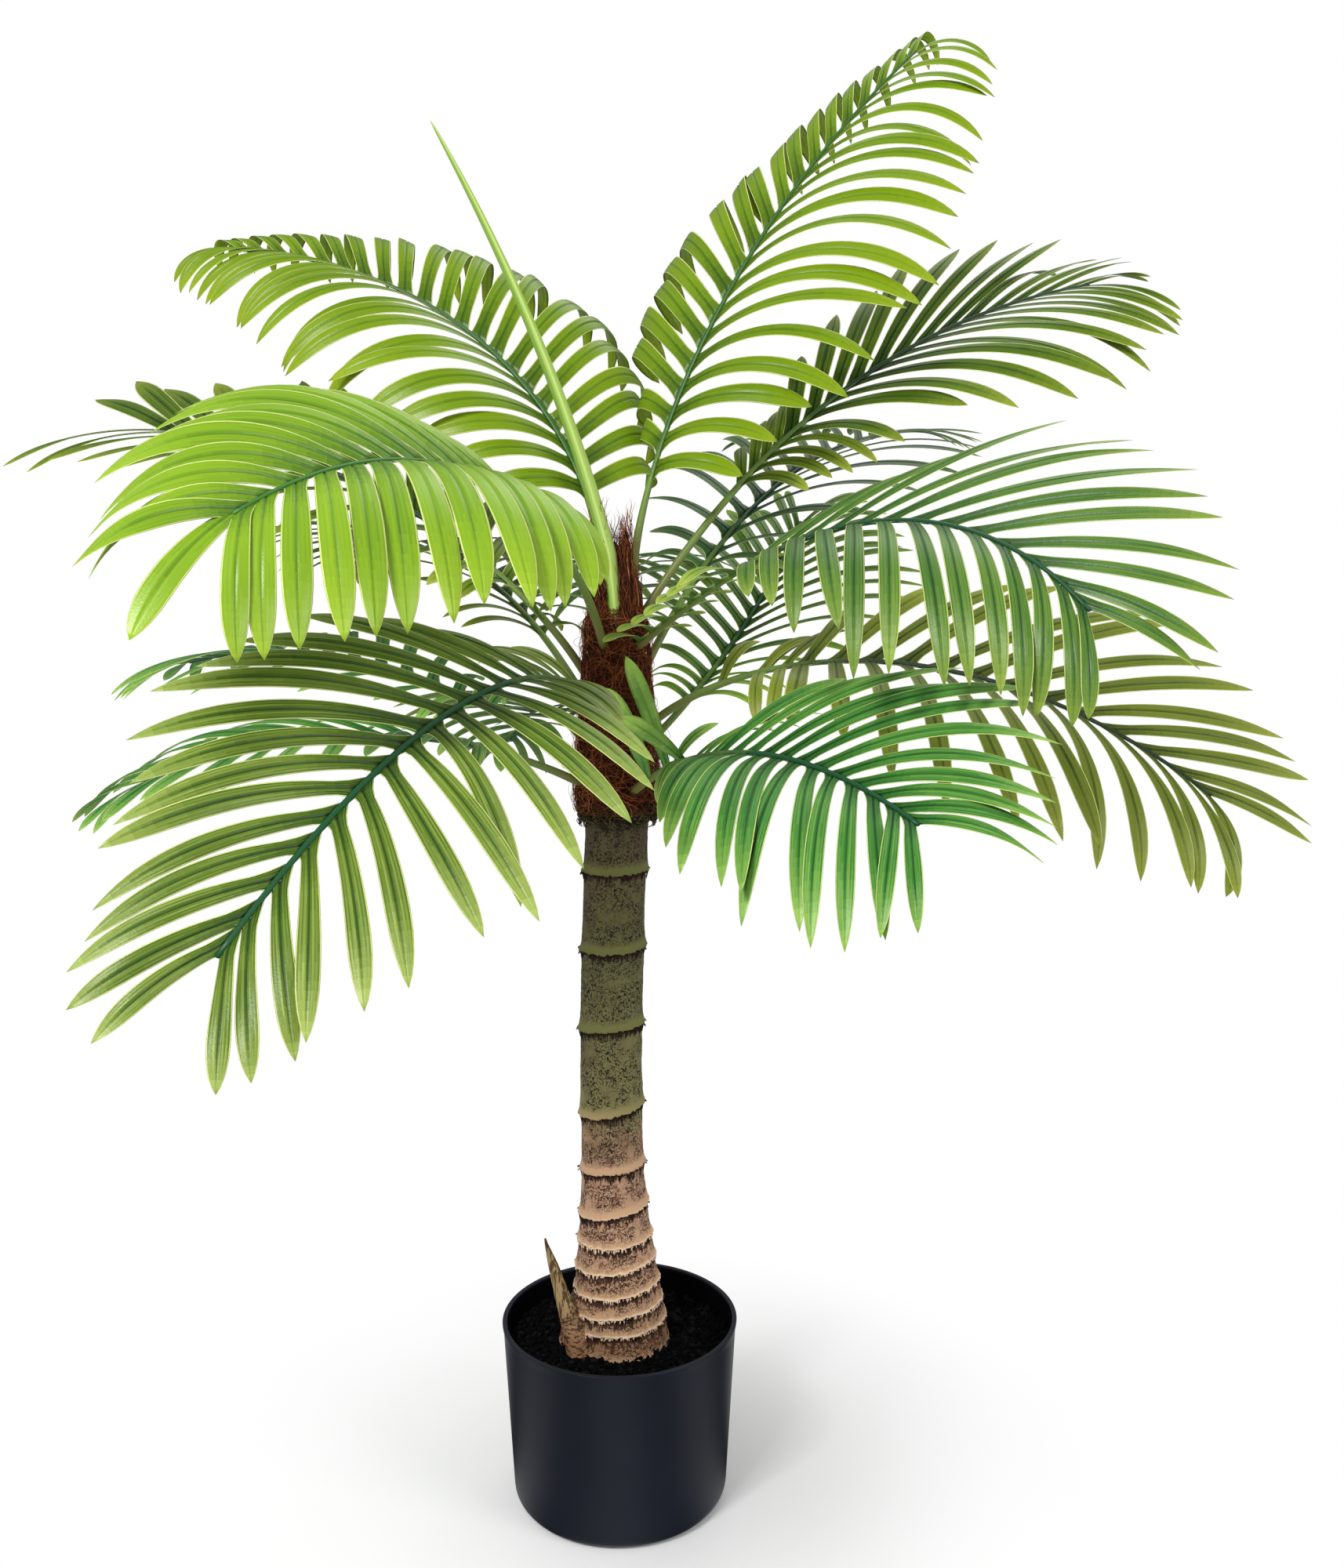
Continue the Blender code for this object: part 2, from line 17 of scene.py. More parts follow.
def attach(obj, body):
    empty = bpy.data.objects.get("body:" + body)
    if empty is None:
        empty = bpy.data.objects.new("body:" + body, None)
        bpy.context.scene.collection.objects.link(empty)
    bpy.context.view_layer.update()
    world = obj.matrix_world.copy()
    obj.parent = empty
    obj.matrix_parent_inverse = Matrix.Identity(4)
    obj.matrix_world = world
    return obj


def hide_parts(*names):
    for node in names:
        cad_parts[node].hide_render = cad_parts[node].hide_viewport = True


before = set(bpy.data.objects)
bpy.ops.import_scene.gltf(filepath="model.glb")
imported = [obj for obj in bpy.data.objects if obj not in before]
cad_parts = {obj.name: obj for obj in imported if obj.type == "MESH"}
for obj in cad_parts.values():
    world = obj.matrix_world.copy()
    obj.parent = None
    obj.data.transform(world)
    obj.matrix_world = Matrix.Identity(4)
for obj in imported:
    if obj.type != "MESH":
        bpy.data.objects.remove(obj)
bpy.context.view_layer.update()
BODY = "root"
SEED = 41

# Strength of the sky, as the plant is lit by it and as a glossy surface mirrors it
AMBIENT = 0.60
MIRRORED = 0.30
# A glossy surface sees the floor dim, with soft rays of painted light round the pot that show as
# painted highlights on
# its wall: how many and where, their mean strength and how far it swings
FLOOR_RAYS = 5
FLOOR_TURN = 100
FLOOR_STRENGTH = (0.24, 0.20)
# Distances from the pot's middle between which the lit floor turns into plain white
FLOOR_FADE = (0.10, 0.42)
# Lights: place, height of the point on the axis that they aim at, size and power
LIGHTS = {"key": ((-1.0, -1.7, 2.4), 0.75, 0.7, 58), "fill": ((1.9, -1.3, 1.4), 0.6, 1.0, 16),
          "back": ((0.5, 1.4, 2.6), 0.8, 1.2, 8)}
CAMERA_PLACE = (0.040, -1.055, 0.700)
CAMERA_TILT = 82
SENSOR = 36
# Focal length of the photo, and its height, in its own pixels
FOCAL = 1865
PHOTO_HEIGHT = 2000

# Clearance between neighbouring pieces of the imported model
GAP = 0.0003

# Pot and its filling
POT_HEIGHT = 0.140
POT_RIM_RADIUS = 0.090
POT_TOP_RADIUS = 0.0886
POT_FOOT_RADIUS = 0.0815
POT_FOOT_ROUNDING = 0.010
POT_WALL = 0.0030
POT_LIP = 0.0025
POT_LIP_FLARE = 0.0040
POT_SIDES = 144
CORNER_STEPS = 6
SOIL_TOP = 0.122
CRUMBS = 3400

# Trunk, and the height of each ring at its front with how far it rises to the right
TRUNK_TOP = 0.5275
TRUNK_RADIUS = 0.0246
TRUNK_FOOT_RADIUS = 0.0385
TRUNK_FLARE = 0.150
TRUNK_BOW = -0.0055
TRUNK_WAIST = 0.0017
RINGS = ((0.488, 0.0006), (0.430, 0.0016), (0.371, 0.0022), (0.307, 0.0042), (0.262, 0.0026),
         (0.229, 0.0044), (0.206, 0.0020), (0.187, 0.0038), (0.168, 0.0030), (0.153, 0.0036),
         (0.140, 0.0022))
RING_LIP = 0.0009
TRUNK_ROWS = 460
TRUNK_COLUMNS = 150
# Relief all over the trunk: height, and how many ripples go round it and along it
TRUNK_RIPPLES = ((0.00018, 60, 160), (0.0004, 9, 26))
# Below the first height the rings crowd, and below the second they do so in full
CROWDED = (0.215, 0.185)
# Bulge at the left of the foot: share of a turn, half width as such a share, top, depth in which
# it grows full, and size
BULGE_AT = 0.52
BULGE_SPREAD = 0.085
BULGE_TOP = 0.165
BULGE_DEPTH = 0.035
BULGE = 0.0085
# Hairs on the rings: first ring that has them, distance between them, length, width, how far
# root and tip stand out, and how soon they reach that
RING_HAIRS = {
    "ring_bristles": (0, 0.0012, (0.0025, 0.0085), (0.0004, 0.0010), (0.0004, -0.0016), 0.5),
    "ring_thorns": (0, 0.0110, (0.0010, 0.0022), (0.0010, 0.0016), (0.0004, 0.0018), 1.0),
    "ring_teeth": (6, 0.0016, (0.0012, 0.0036), (0.0006, 0.0014), (0.0007, 0.0), 1.0)}
# Farther than any ring is from the next
FAR = 1.0

# Side shoot, from its thick foot in the soil beside the trunk to its pointed tip: x, y, height
# and radius
SHOOT_STEPS = ((-0.0290, -0.0240, 0.1200, 0.0102), (-0.0326, -0.0232, 0.1380, 0.0095),
               (-0.0378, -0.0216, 0.1530, 0.0077), (-0.0432, -0.0198, 0.1690, 0.0056),
               (-0.0493, -0.0181, 0.1900, 0.0039), (-0.0554, -0.0170, 0.2100, 0.0006))
# Its rings, as shares of its height with how far each rises to the right
SHOOT_RINGS = ((0.24, -0.03), (0.37, 0.03))

# Coir fibre wrap round the head of the trunk: height above its foot and radius there
WRAP_STEPS = ((0.000, 0.0270), (0.012, 0.0305), (0.060, 0.0298), (0.105, 0.0282),
              (0.135, 0.0228), (0.172, 0.0205), (0.188, 0.0195))
WRAP_FOOT = TRUNK_TOP + GAP
WRAP_TOP = WRAP_FOOT + WRAP_STEPS[-1][0]

# The same for the coir that shows
COAT_STEPS = ((0.000, 0.0262), (0.012, 0.0286), (0.035, 0.0284), (0.062, 0.0262), (0.095, 0.0230),
              (0.122, 0.0220), (0.150, 0.0210), (0.210, 0.0204))

# Above this rise the wrap splits into fibrous columns: azimuth, foot and top above the trunk, and
# half width of each
WRAP_SPLIT = 0.146
SHEATHS = ((-146, 0.125, 0.210, 0.0098), (-58, 0.125, 0.206, 0.0056), (92, 0.125, 0.198, 0.0085),
           (176, 0.125, 0.186, 0.0060), (-6, 0.120, 0.164, 0.0060))
COIR = {"coir_dark": (44, 22, 12), "coir_red": (110, 54, 26), "coir_pale": (164, 98, 54),
        "dry_sheath": (150, 98, 62), "collar_olive": (84, 80, 48), "collar_dark": (46, 40, 26)}
# Strands of coir: how many, their width and how far they stand off
STRANDS = {"coir_dark": (1700, (0.00028, 0.00050), (0.0, 0.0012)),
           "coir_red": (1900, (0.00022, 0.00040), (0.0002, 0.0018)),
           "coir_pale": (520, (0.00020, 0.00034), (0.0006, 0.0030))}
COLLAR_STRAWS = 760
# Loose strands of a column: how many for a half width of 6 mm, and the longest
SHREDS = {"coir_dark": (60, 0.026), "coir_red": (170, 0.028), "coir_pale": (50, 0.030),
          "dry_sheath": (3, 0.050)}
# A column's thickness, how far it stands in from the coir's face at its foot, and how much
# further at its top
COLUMN_THICK = 0.0036
COLUMN_DEPTH = (0.0044, 0.0020)

# Spear leaf: foot beside the middle of the wrap's top, length, and its lean from foot to tip
SPEAR_FOOT = (-0.001, -0.0115)
SPEAR_LENGTH = 0.310
SPEAR_AZIMUTH = 186.0
SPEAR_RISE = 75.0
SPEAR_END = 60.0
SPEAR_RADIUS = 0.0052
SPEAR_TIP_RADIUS = 0.00027
SPEAR_SHIFT = -0.0035
SPEAR_PLEAT = 0.05
# Its root in the wrap: depth, sideways reach and steps
SPEAR_ROOT = 0.084
SPEAR_ROOT_REACH = 0.0060
SPEAR_ROOT_STEPS = 16
SPEAR_COLOURS = {"spear_pale": (178, 200, 110), "spear_green": (150, 180, 84),
                 "spear_deep": (124, 158, 62)}

# Stalk and rib of a frond: width and thickness at the foot, at the first leaflets and at the tip
STALK_WIDTH = (0.0066, 0.0050, 0.0027)
STALK_THICK = (0.0070, 0.0044, 0.0024)
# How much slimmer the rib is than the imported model's, its sides, and how far it goes into the wrap
RIB_SLIM = 0.86
RIB_STEPS = 48
RIB_SIDES = 12
STALK_ROOT = 0.014

# Leaflets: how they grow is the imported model's rule, with finer blades
BLADE_CROWDING = 0.97
ROOT_SHARE = 0.94
ROOT_FADE = 0.085
LONGEST_AT = 0.35
SHORTEST = 0.24
BASAL_CROWDING = 0.62
BASAL_WIDTH = 0.72
BASAL_DROOP = 24.0
# The comb of short leaflets on one side of a stalk: angle to it, share of the length, and twist
COMB_ANGLE = 90
COMB_LENGTH = 0.86
COMB_TWIST = 18
# A leaflet at less than this angle to the rib goes on from the rib's tip
TERMINAL_ANGLE = 10
# How far a leaflet strays from the rule either way, and its share of the length
STRAY_TURN = 2.5
STRAY_DROOP = 6.0
STRAY_TWIST = 9.0
STRAY_LENGTH = (0.96, 1.02)
TWISTED_AT = 0.60
BLADE_STEPS = 24
TEST_STEPS = 6
CLEARANCE = 0.0012
BLADE_SHAPE = ((0.0, 0.80), (0.10, 0.72), (0.30, 0.86), (0.55, 0.98), (0.70, 1.0), (0.80, 0.93),
               (0.88, 0.74), (0.94, 0.49), (0.98, 0.22), (1.0, 0.02))
# Across a leaflet: place, height in millimetres, on top from its rib to one edge and to the
# other alike, and then back underneath
HALF_LINE = ((0.05, -0.28), (0.15, 0.42), (0.30, 0.18), (0.45, 0.20), (0.60, 0.02), (0.74, 0.04),
             (0.90, -0.22), (1.0, -0.35))
TOP_LINE = tuple((-place, height) for place, height in reversed(HALF_LINE)) + HALF_LINE
UNDER_LINE = ((0.55, -0.42), (0.12, -0.30), (0.0, -0.85), (-0.12, -0.30), (-0.55, -0.42))
# Share of a frond's blade width above which that relief is full
FULL_RELIEF = 0.3
# How much lighter or darker than the blade each strip of that line is, in steps of tone
TOP_TONES = (None, -0.3, 0.9, -0.2, 0.8, -0.5, -1.4, -3.0, -1.4, 0.3, 1.0, -0.2, 0.8, -0.4, None)
UNDER_TONES = (0.8, 0.2, -0.8, -0.8, 0.2, 0.8)

# What a leaflet tries, in turn, where it would touch something: extra droop and share of length
TRIES = ((0, 1.0), (8, 1.0), (-8, 1.0), (14, 1.0), (-14, 1.0), (28, 0.95), (-28, 0.95),
         (12, 0.80), (-12, 0.80), (40, 0.8), (0, 0.62), (25, 0.62), (-25, 0.62), (0, 0.45),
         (30, 0.45), (-30, 0.45))

# Sizes that a frond has unless its own line gives others. Pairs are for its left and right side.
FROND = dict(
    foot=0.62, azimuth=0.0, swing=0.0, rise=50.0, dip=0.0, ease=1.0, length=0.42, bare=0.30,
    roll=0.0, spread=68.0, close=28.0, lift=(22.0, 14.0), droop=(38.0, 45.0), late=(1.3, 1.3),
    under=0.35, twist=(16.0, 16.0), leaf=0.165, blade=0.0135, lean=(0.0, 0.0), first=0.50,
    last=0.48, count=15, basal=2, comb=0.0, bright=0.0, back=(0.0, 0.0), relax=0.0, crowd=1.0,
    narrow=0.25, free=False, sway=11.0, look="mid")

# The fronds, from the top of the crown down
FRONDS = {
    "frond_left_high": dict(
        foot=None, azimuth=143, swing=23, rise=87, dip=6, ease=0.63, bare=0.12, roll=9,
        spread=76, close=36, lift=(18, 36), droop=(90, 150), late=(1.3, 2.4), under=0.8,
        twist=(10, 4), leaf=0.168, last=0.40, blade=0.0168, count=21, basal=0, back=(0, 0.3),
        look="high"),
    "frond_right_tall": dict(
        foot=None, azimuth=28, swing=-2, rise=83, dip=42, ease=0.64, length=0.452, bare=0.14,
        roll=-2, spread=70, lift=(27, 3), droop=(150, 80), late=(2.4, 1.1), under=0.8,
        twist=(4, 24), first=0.46, last=0.42, blade=0.0172, count=20, basal=0, back=(0.3, 0),
        look="high"),
    "frond_right_back": dict(
        foot=0.680, azimuth=24, swing=-7, rise=55, dip=11, ease=1.1, length=0.455, bare=0.38,
        roll=-18, spread=50, close=27, lean=(13, 0), lift=(24, 4), droop=(19, 46), twist=(16, 10),
        leaf=0.176, last=0.46, blade=0.0145, count=14, basal=4, look="deep"),
    "frond_left_front": dict(
        foot=0.660, azimuth=248, swing=-5, rise=58.5, dip=-25.5, ease=0.76, length=0.410,
        bare=0.28, roll=9.5, spread=65, close=34, lift=(11, 42), droop=(78, 80), late=(1.0, 1.22),
        twist=(26, 40), leaf=0.158, first=0.49, last=0.56, blade=0.0185, basal=0, relax=0.10,
        crowd=1.08, narrow=0.05, sway=4, look="bright"),
    "frond_right_front": dict(
        foot=0.655, azimuth=-44, swing=-13, rise=31, dip=-40, ease=1.65, length=0.398, roll=-12,
        spread=52, close=30, lift=(27, 8), droop=(26, 70), under=0.43, twist=(14, 28), first=0.38,
        last=0.43, blade=0.0130, count=13, basal=8, comb=24, bright=1.4),
    "frond_left_back": dict(
        foot=0.640, azimuth=165, swing=1, rise=55.7, dip=6.4, ease=0.755, length=0.384, roll=8,
        spread=66, close=32, lift=(0, 24), droop=(34, 12), twist=(24, 18), leaf=0.136, last=0.92,
        blade=0.0175, count=11, narrow=0.0, sway=5, look="deep"),
    "frond_back_right": dict(
        foot=0.632, azimuth=52, rise=52, dip=6, count=12, look="cool"),
    "frond_back": dict(
        foot=0.618, azimuth=96, rise=42, dip=-22, count=12),
    "frond_back_left": dict(
        foot=0.602, azimuth=128, rise=46, dip=-12, count=12, look="deep"),
    "frond_far_right": dict(
        foot=0.600, azimuth=-25, swing=-5, rise=38, dip=-36, ease=0.75, length=0.403, roll=-10,
        spread=72, lift=(26, 10), droop=(22, 60), twist=(20, 20), leaf=0.168, last=0.44,
        blade=0.0134, count=13, look="olive"),
    "frond_low_left_front": dict(
        foot=0.600, azimuth=257, swing=-12, rise=39, dip=-35, ease=0.6, length=0.477, roll=10,
        spread=65, lift=(9, 29), droop=(36, 32), under=0.43, twist=(22, 28), leaf=0.153,
        blade=0.0134, last=0.45, basal=3, look="leafy"),
    "frond_right_inner": dict(
        foot=0.572, azimuth=59, swing=7, rise=23, dip=38, length=0.354, bare=0.34, spread=58,
        count=13, basal=3, look="fresh"),
    "frond_low_right_front": dict(
        foot=0.552, azimuth=-63, swing=-4, rise=27, dip=-14, ease=0.83, length=0.356, bare=0.36,
        roll=-15, spread=52, lift=(37, 15), droop=(38, 56), twist=(20, 28), leaf=0.162,
        first=0.59, blade=0.0120, count=12, basal=3, look="jade"),
    "frond_low_left_back": dict(
        foot=0.566, azimuth=160, swing=-6, rise=33, dip=-12, length=0.370, lift=(12, 19),
        droop=(50, 41), leaf=0.155, count=12, look="jade"),
    "frond_low_left": dict(
        foot=0.556, azimuth=206, rise=27, dip=-20, length=0.300, lift=(14, 18), leaf=0.132,
        count=12, look="jade"),
    "frond_low_back": dict(
        foot=0.556, azimuth=108, rise=24, dip=-28, length=0.355, leaf=0.150, count=12),
}

# Short blades that rise from a stalk near its foot, and one at a rib's end: share of the length,
# side, angle to the rib, lift, droop, length, width and twist
TUFTS = {
    "frond_left_front": ((0.985, -1, -2, -20, 30, 0.094, 0.0150, 16),),
    "frond_low_right_front": ((0.08, -1, 62, 68, 30, 0.080, 0.0125, -62),
                              (0.17, -1, 98, 90, 10, 0.085, 0.0125, -66),
                              (0.24, -1, 62, 42, 14, 0.074, 0.0120, -56),
                              (0.16, 1, 70, 60, 60, 0.045, 0.0085, 40)),
    "frond_low_left_front": ((0.12, -1, 80, 50, 60, 0.060, 0.0090, 40),
                             (0.18, -1, 64, 40, 70, 0.075, 0.0095, 30)),
    "frond_left_back": ((0.12, 1, 60, 40, 60, 0.055, 0.0085, 24),),
    "frond_far_right": ((0.14, 1, 70, 50, 60, 0.060, 0.0090, 30),
                        (0.22, 1, 60, 40, 70, 0.070, 0.0090, 30)),
}
TUFT_PLACE = -0.1
# Steps of tone by which they differ from the frond's own basal leaflets: at the stalk, and at the
# rib's end
TUFT_BRIGHT = 1.2
END_BRIGHT = -1.6

# Leaf colours at the rib, along the blade, at the tip, and the rib's own
LOOKS = {
    "bright": ((70, 112, 10), (114, 152, 14), (166, 196, 46), (54, 108, 38)),
    "high": ((64, 94, 4), (102, 132, 6), (144, 164, 24), (48, 96, 32)),
    "deep": ((36, 60, 12), (70, 98, 16), (144, 158, 50), (24, 58, 28)),
    "mid": ((38, 76, 29), (70, 108, 40), (146, 167, 63), (22, 72, 42)),
    "cool": ((32, 68, 34), (58, 98, 46), (126, 156, 76), (22, 68, 42)),
    "olive": ((60, 74, 20), (102, 118, 34), (154, 162, 62), (34, 58, 34)),
    "leafy": ((50, 80, 22), (86, 110, 30), (172, 190, 98), (22, 76, 44)),
    "fresh": ((50, 88, 18), (84, 124, 28), (160, 190, 66), (28, 76, 30)),
    "jade": ((27, 77, 26), (58, 119, 43), (163, 199, 91), (14, 72, 40)),
}
# How strongly the veins of each look stand out, and how streaky its blades are
VEINS = {"bright": 0.50, "high": 0.50, "leafy": 1.15}
STREAKS = {"leafy": 1.6, "jade": 1.3, "deep": 1.0, "mid": 0.9}
TONES = 16
GLOSS = {"bright": 0.44, "high": 0.28, "deep": 0.18, "mid": 0.24}
# A stalk's own colours: its foot, and its green before it darkens to the rib's
STALK_FOOT = (106, 108, 50)
STALK_GREEN = (112, 142, 58)
RIB_TONES = 7
RIB_TONE_LINE = (0.0, 1.6, 2.6, 3.2, 4.2, 5.4, 6.0)
EDGE_CREAM = (214, 220, 140)


def between(values, share):
    """Value at a share of the way along evenly spaced values."""
    place = min(max(share, 0.0), 1.0) * (len(values) - 1)
    index = min(int(place), len(values) - 2)
    return values[index] + (values[index + 1] - values[index]) * (place - index)


def on_line(line, at):
    """Value at one place or many on a line of (place, value) pairs."""
    return np.interp(at, *zip(*line))


def linear(colour):
    """A colour as shown on a screen, as the renderer's own values."""
    shown = np.array(colour) / 255
    return np.where(shown <= 0.04045, shown / 12.92, ((shown + 0.055) / 1.055) ** 2.4)


# Materials


def feed(socket, value):
    """Link a signal to a socket, or set the socket's own value."""
    if isinstance(value, Signal):
        value.tree.links.new(value.socket, socket)
    else:
        socket.default_value = value


def node(tree, kind, **values):
    """A new node, with its properties or, by name, its sockets set or linked."""
    made = tree.nodes.new(kind)
    for key, value in values.items():
        if hasattr(made, key):
            setattr(made, key, value)
        else:
            feed(made.inputs[key.replace("_", " ")], value)
    return made


class Signal:
    """What a node gives out. Its sums and products are new nodes of the same tree."""

    def __init__(self, made, output=0):
        self.tree = made.id_data
        self.socket = made.outputs[output]

    def maths(self, operation, other=0.0, clamp=False):
        made = node(self.tree, "ShaderNodeMath", operation=operation, use_clamp=clamp)
        feed(made.inputs[0], self)
        feed(made.inputs[1], other)
        return Signal(made)

    def __add__(self, other):
        return self.maths("ADD", other)

    def __sub__(self, other):
        return self.maths("SUBTRACT", other)

    def __mul__(self, other):
        return self.maths("MULTIPLY", other)

    def fade(self, start, end):
        """0 where this is at start and 1 where it is at end, smooth between."""
        return Signal(node(self.tree, "ShaderNodeMapRange", interpolation_type="SMOOTHSTEP",
                           Value=self, From_Min=start, From_Max=end))

    def ramp(self, *stops):
        """Colour by this signal, from (place, colour) stops."""
        made = node(self.tree, "ShaderNodeValToRGB", Fac=self)
        elements = made.color_ramp.elements
        while len(elements) < len(stops):
            elements.new(0.5)
        for element, (place, colour) in zip(elements, stops):
            element.position = place
            element.color = (*linear(colour), 1)
        return Signal(made)

    def painted(self, share, colour):
        """This colour with a share of another, a plain one or a signal, over it."""
        made = node(self.tree, "ShaderNodeMix", data_type="RGBA")
        if not isinstance(colour, Signal):
            colour = (*linear(colour), 1)
        for index, value in ((0, share), (6, self), (7, colour)):
            feed(made.inputs[index], value)
        return Signal(made, 2)


def read(tree, name):
    return Signal(node(tree, "ShaderNodeAttribute", attribute_name=name), "Fac")


def speckle(tree, scale, stretch=(1, 1, 1), detail=3, roughness=0.6, turn=0.0):
    """Noise from 0 to 1 in the object's own space."""
    where = Signal(node(tree, "ShaderNodeTexCoord"), "Object")
    place = Signal(node(tree, "ShaderNodeMapping", Vector=where, Scale=stretch,
                        Rotation=(0.0, turn, 0.0)))
    return Signal(node(tree, "ShaderNodeTexNoise", Vector=place, Scale=scale, Detail=detail,
                       Roughness=roughness), "Fac")


def set_up(name, roughness, specular):
    """A new material, and its node tree."""
    mat = bpy.data.materials.new(name)
    mat.use_nodes = True
    shader = mat.node_tree.nodes["Principled BSDF"]
    feed(shader.inputs["Roughness"], roughness)
    feed(shader.inputs["Specular IOR Level"], specular)
    return mat, mat.node_tree


def coloured(mat, colour, height=None, distance=0.0, strength=1.0):
    """A material with its colour, the renderer's own or a signal, and its relief."""
    shader = mat.node_tree.nodes["Principled BSDF"]
    feed(shader.inputs["Base Color"], colour)
    if height:
        bump = node(height.tree, "ShaderNodeBump", Strength=strength, Distance=distance,
                    Height=height)
        feed(shader.inputs["Normal"], Signal(bump))
    return mat


def grain(tree, scale):
    return speckle(tree, scale, detail=2, roughness=0.5)


def plain(name, colour, roughness, specular, relief=(900, 0.00012)):
    """A material of one base colour, given as the renderer's values, with a fine noise relief."""
    mat, tree = set_up(name, roughness, specular)
    if relief:
        return coloured(mat, (*colour, 1), grain(tree, relief[0]), relief[1])
    return coloured(mat, (*colour, 1))


# Meshes


def place_object(name, data):
    obj = bpy.data.objects.new(name, data)
    bpy.context.scene.collection.objects.link(obj)
    return obj


def piece(name, points, faces, materials, stands_for=None, indices=None, smooth=True):
    """A mesh object that rides on the plant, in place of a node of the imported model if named."""
    mesh = bpy.data.meshes.new(name)
    mesh.from_pydata(np.asarray(points).tolist(), [], faces)
    for mat in materials:
        mesh.materials.append(mat)
    if indices is not None:
        mesh.polygons.foreach_set("material_index", np.asarray(indices, dtype=np.int32))
    mesh.polygons.foreach_set("use_smooth", np.full(len(mesh.polygons), smooth))
    mesh.update()
    obj = place_object(name, mesh)
    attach(obj, BODY)
    if stands_for:
        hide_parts(stands_for)
    return obj


def ring_faces(rows, columns, start=0):
    """Quads round a stack of rings, with a cap on each end."""
    faces = []
    for i in range(rows - 1):
        low, high = start + i * columns, start + (i + 1) * columns
        for j in range(columns):
            k = (j + 1) % columns
            faces.append((low + j, low + k, high + k, high + j))
    faces.append(tuple(start + j for j in reversed(range(columns))))
    faces.append(tuple(start + (rows - 1) * columns + j for j in range(columns)))
    return faces


def spun_faces(rows, columns, closed):
    """Quads between rings, and triangles to a point on the axis at the first and the last.

    Those points follow the rings' own. The second is there only if closed is true.
    """
    faces = []
    for i in range(rows - 1):
        low, high = i * columns, (i + 1) * columns
        for j in range(columns):
            k = (j + 1) % columns
            faces.append((low + j, high + j, high + k, low + k))
    for row, step, axis in ((0, 1, 0), (rows - 1, -1, 1))[:2 if closed else 1]:
        for j in range(columns):
            pair = (row * columns + j, row * columns + (j + 1) % columns)
            faces.append((*pair[::step], rows * columns + axis))
    return faces


def stem(name, points, materials, slot, stands_for, **readings):
    """A closed stem from its grid of points, with what its material reads at each of them."""
    rows, columns = points.shape[:2]
    made = piece(name, points.reshape(-1, 3), ring_faces(rows, columns), materials,
                 stands_for)
    for key, values in readings.items():
        attribute = made.data.attributes.new(key, "FLOAT", "POINT")
        attribute.data.foreach_set("value", np.asarray(values, dtype=np.float32).ravel())


def threads(name, paths, width, mat, stands_for):
    """Thin three-sided fibres along many paths, an array of (fibre, point, xyz), as one piece."""
    count, steps, _ = paths.shape
    ahead = np.gradient(paths, axis=1)
    ahead /= np.linalg.norm(ahead, axis=2, keepdims=True) + 1e-12
    side = np.cross(ahead, np.array([0.31, 0.17, 0.94]))
    side /= np.linalg.norm(side, axis=2, keepdims=True) + 1e-12
    other = np.cross(ahead, side)
    taper = np.full(steps, 1.0)
    taper[0] = taper[-1] = 0.35
    width = np.asarray(width).reshape(-1, 1, 1, 1) * taper.reshape(1, -1, 1, 1) / 2
    corner = (2 * pi * np.arange(3) / 3)[None, None, :, None]
    ring = side[:, :, None] * np.cos(corner) + other[:, :, None] * np.sin(corner)
    points = (paths[:, :, None] + ring * width).reshape(-1, 3)
    one = ring_faces(steps, 3)
    faces = [tuple(k + i * steps * 3 for k in face) for i in range(count) for face in one]
    piece(name, points, faces, [mat], stands_for)


def unrolled(rows, columns):
    """Share of a turn and share of the height, over a stem's surface."""
    return np.meshgrid(np.arange(columns) / columns, np.linspace(0, 1, rows))


def rolled_up(around, radius, height):
    """Points of a stem's surface, from arrays over it."""
    turn = 2 * pi * around
    return np.stack([radius * np.cos(turn), radius * np.sin(turn), height], -1)


def ripple(dice, around, along, cells_around, cells_along):
    """Smooth noise from -1 to 1, seamless around, at arrays of places from 0 to 1."""
    grid = dice.uniform(-1, 1, (cells_along + 2, cells_around))
    u = around * cells_around
    v = np.clip(along, 0, 1) * cells_along
    iu, iv = np.floor(u).astype(int), np.floor(v).astype(int)
    fu, fv = u - iu, v - iv
    fu, fv = fu * fu * (3 - 2 * fu), fv * fv * (3 - 2 * fv)
    left, right = iu % cells_around, (iu + 1) % cells_around
    low = grid[iv, left] * (1 - fu) + grid[iv, right] * fu
    high = grid[iv + 1, left] * (1 - fu) + grid[iv + 1, right] * fu
    return low * (1 - fv) + high * fv


# Sizes of the trunk and the wrap, at one height or at many


def bow_at(height):
    """Sideways bow of the trunk's axis above the soil."""
    share = (height - SOIL_TOP) / (TRUNK_TOP - SOIL_TOP)
    return TRUNK_BOW * np.sin(pi * np.clip(share, 0.0, 1.0))


def trunk_radius(height):
    """Straight above, flared towards the soil."""
    share = np.clip((SOIL_TOP + TRUNK_FLARE - height) / TRUNK_FLARE, 0.0, 1.0)
    return TRUNK_RADIUS + (TRUNK_FOOT_RADIUS - TRUNK_RADIUS) * share ** 1.5


def foot_bulge(around, height):
    """How far the foot bulges at its left, from 0 to 1."""
    low = np.clip((BULGE_TOP - height) / BULGE_DEPTH, 0, 1)
    return np.exp(-((around - BULGE_AT) / BULGE_SPREAD) ** 2) * low ** 0.8


def wrap_radius(height):
    return on_line(WRAP_STEPS, height - WRAP_FOOT)


def coat_radius(height):
    """Radius of the visible coir, which draws in under the stalks."""
    return on_line(COAT_STEPS, height - WRAP_FOOT)


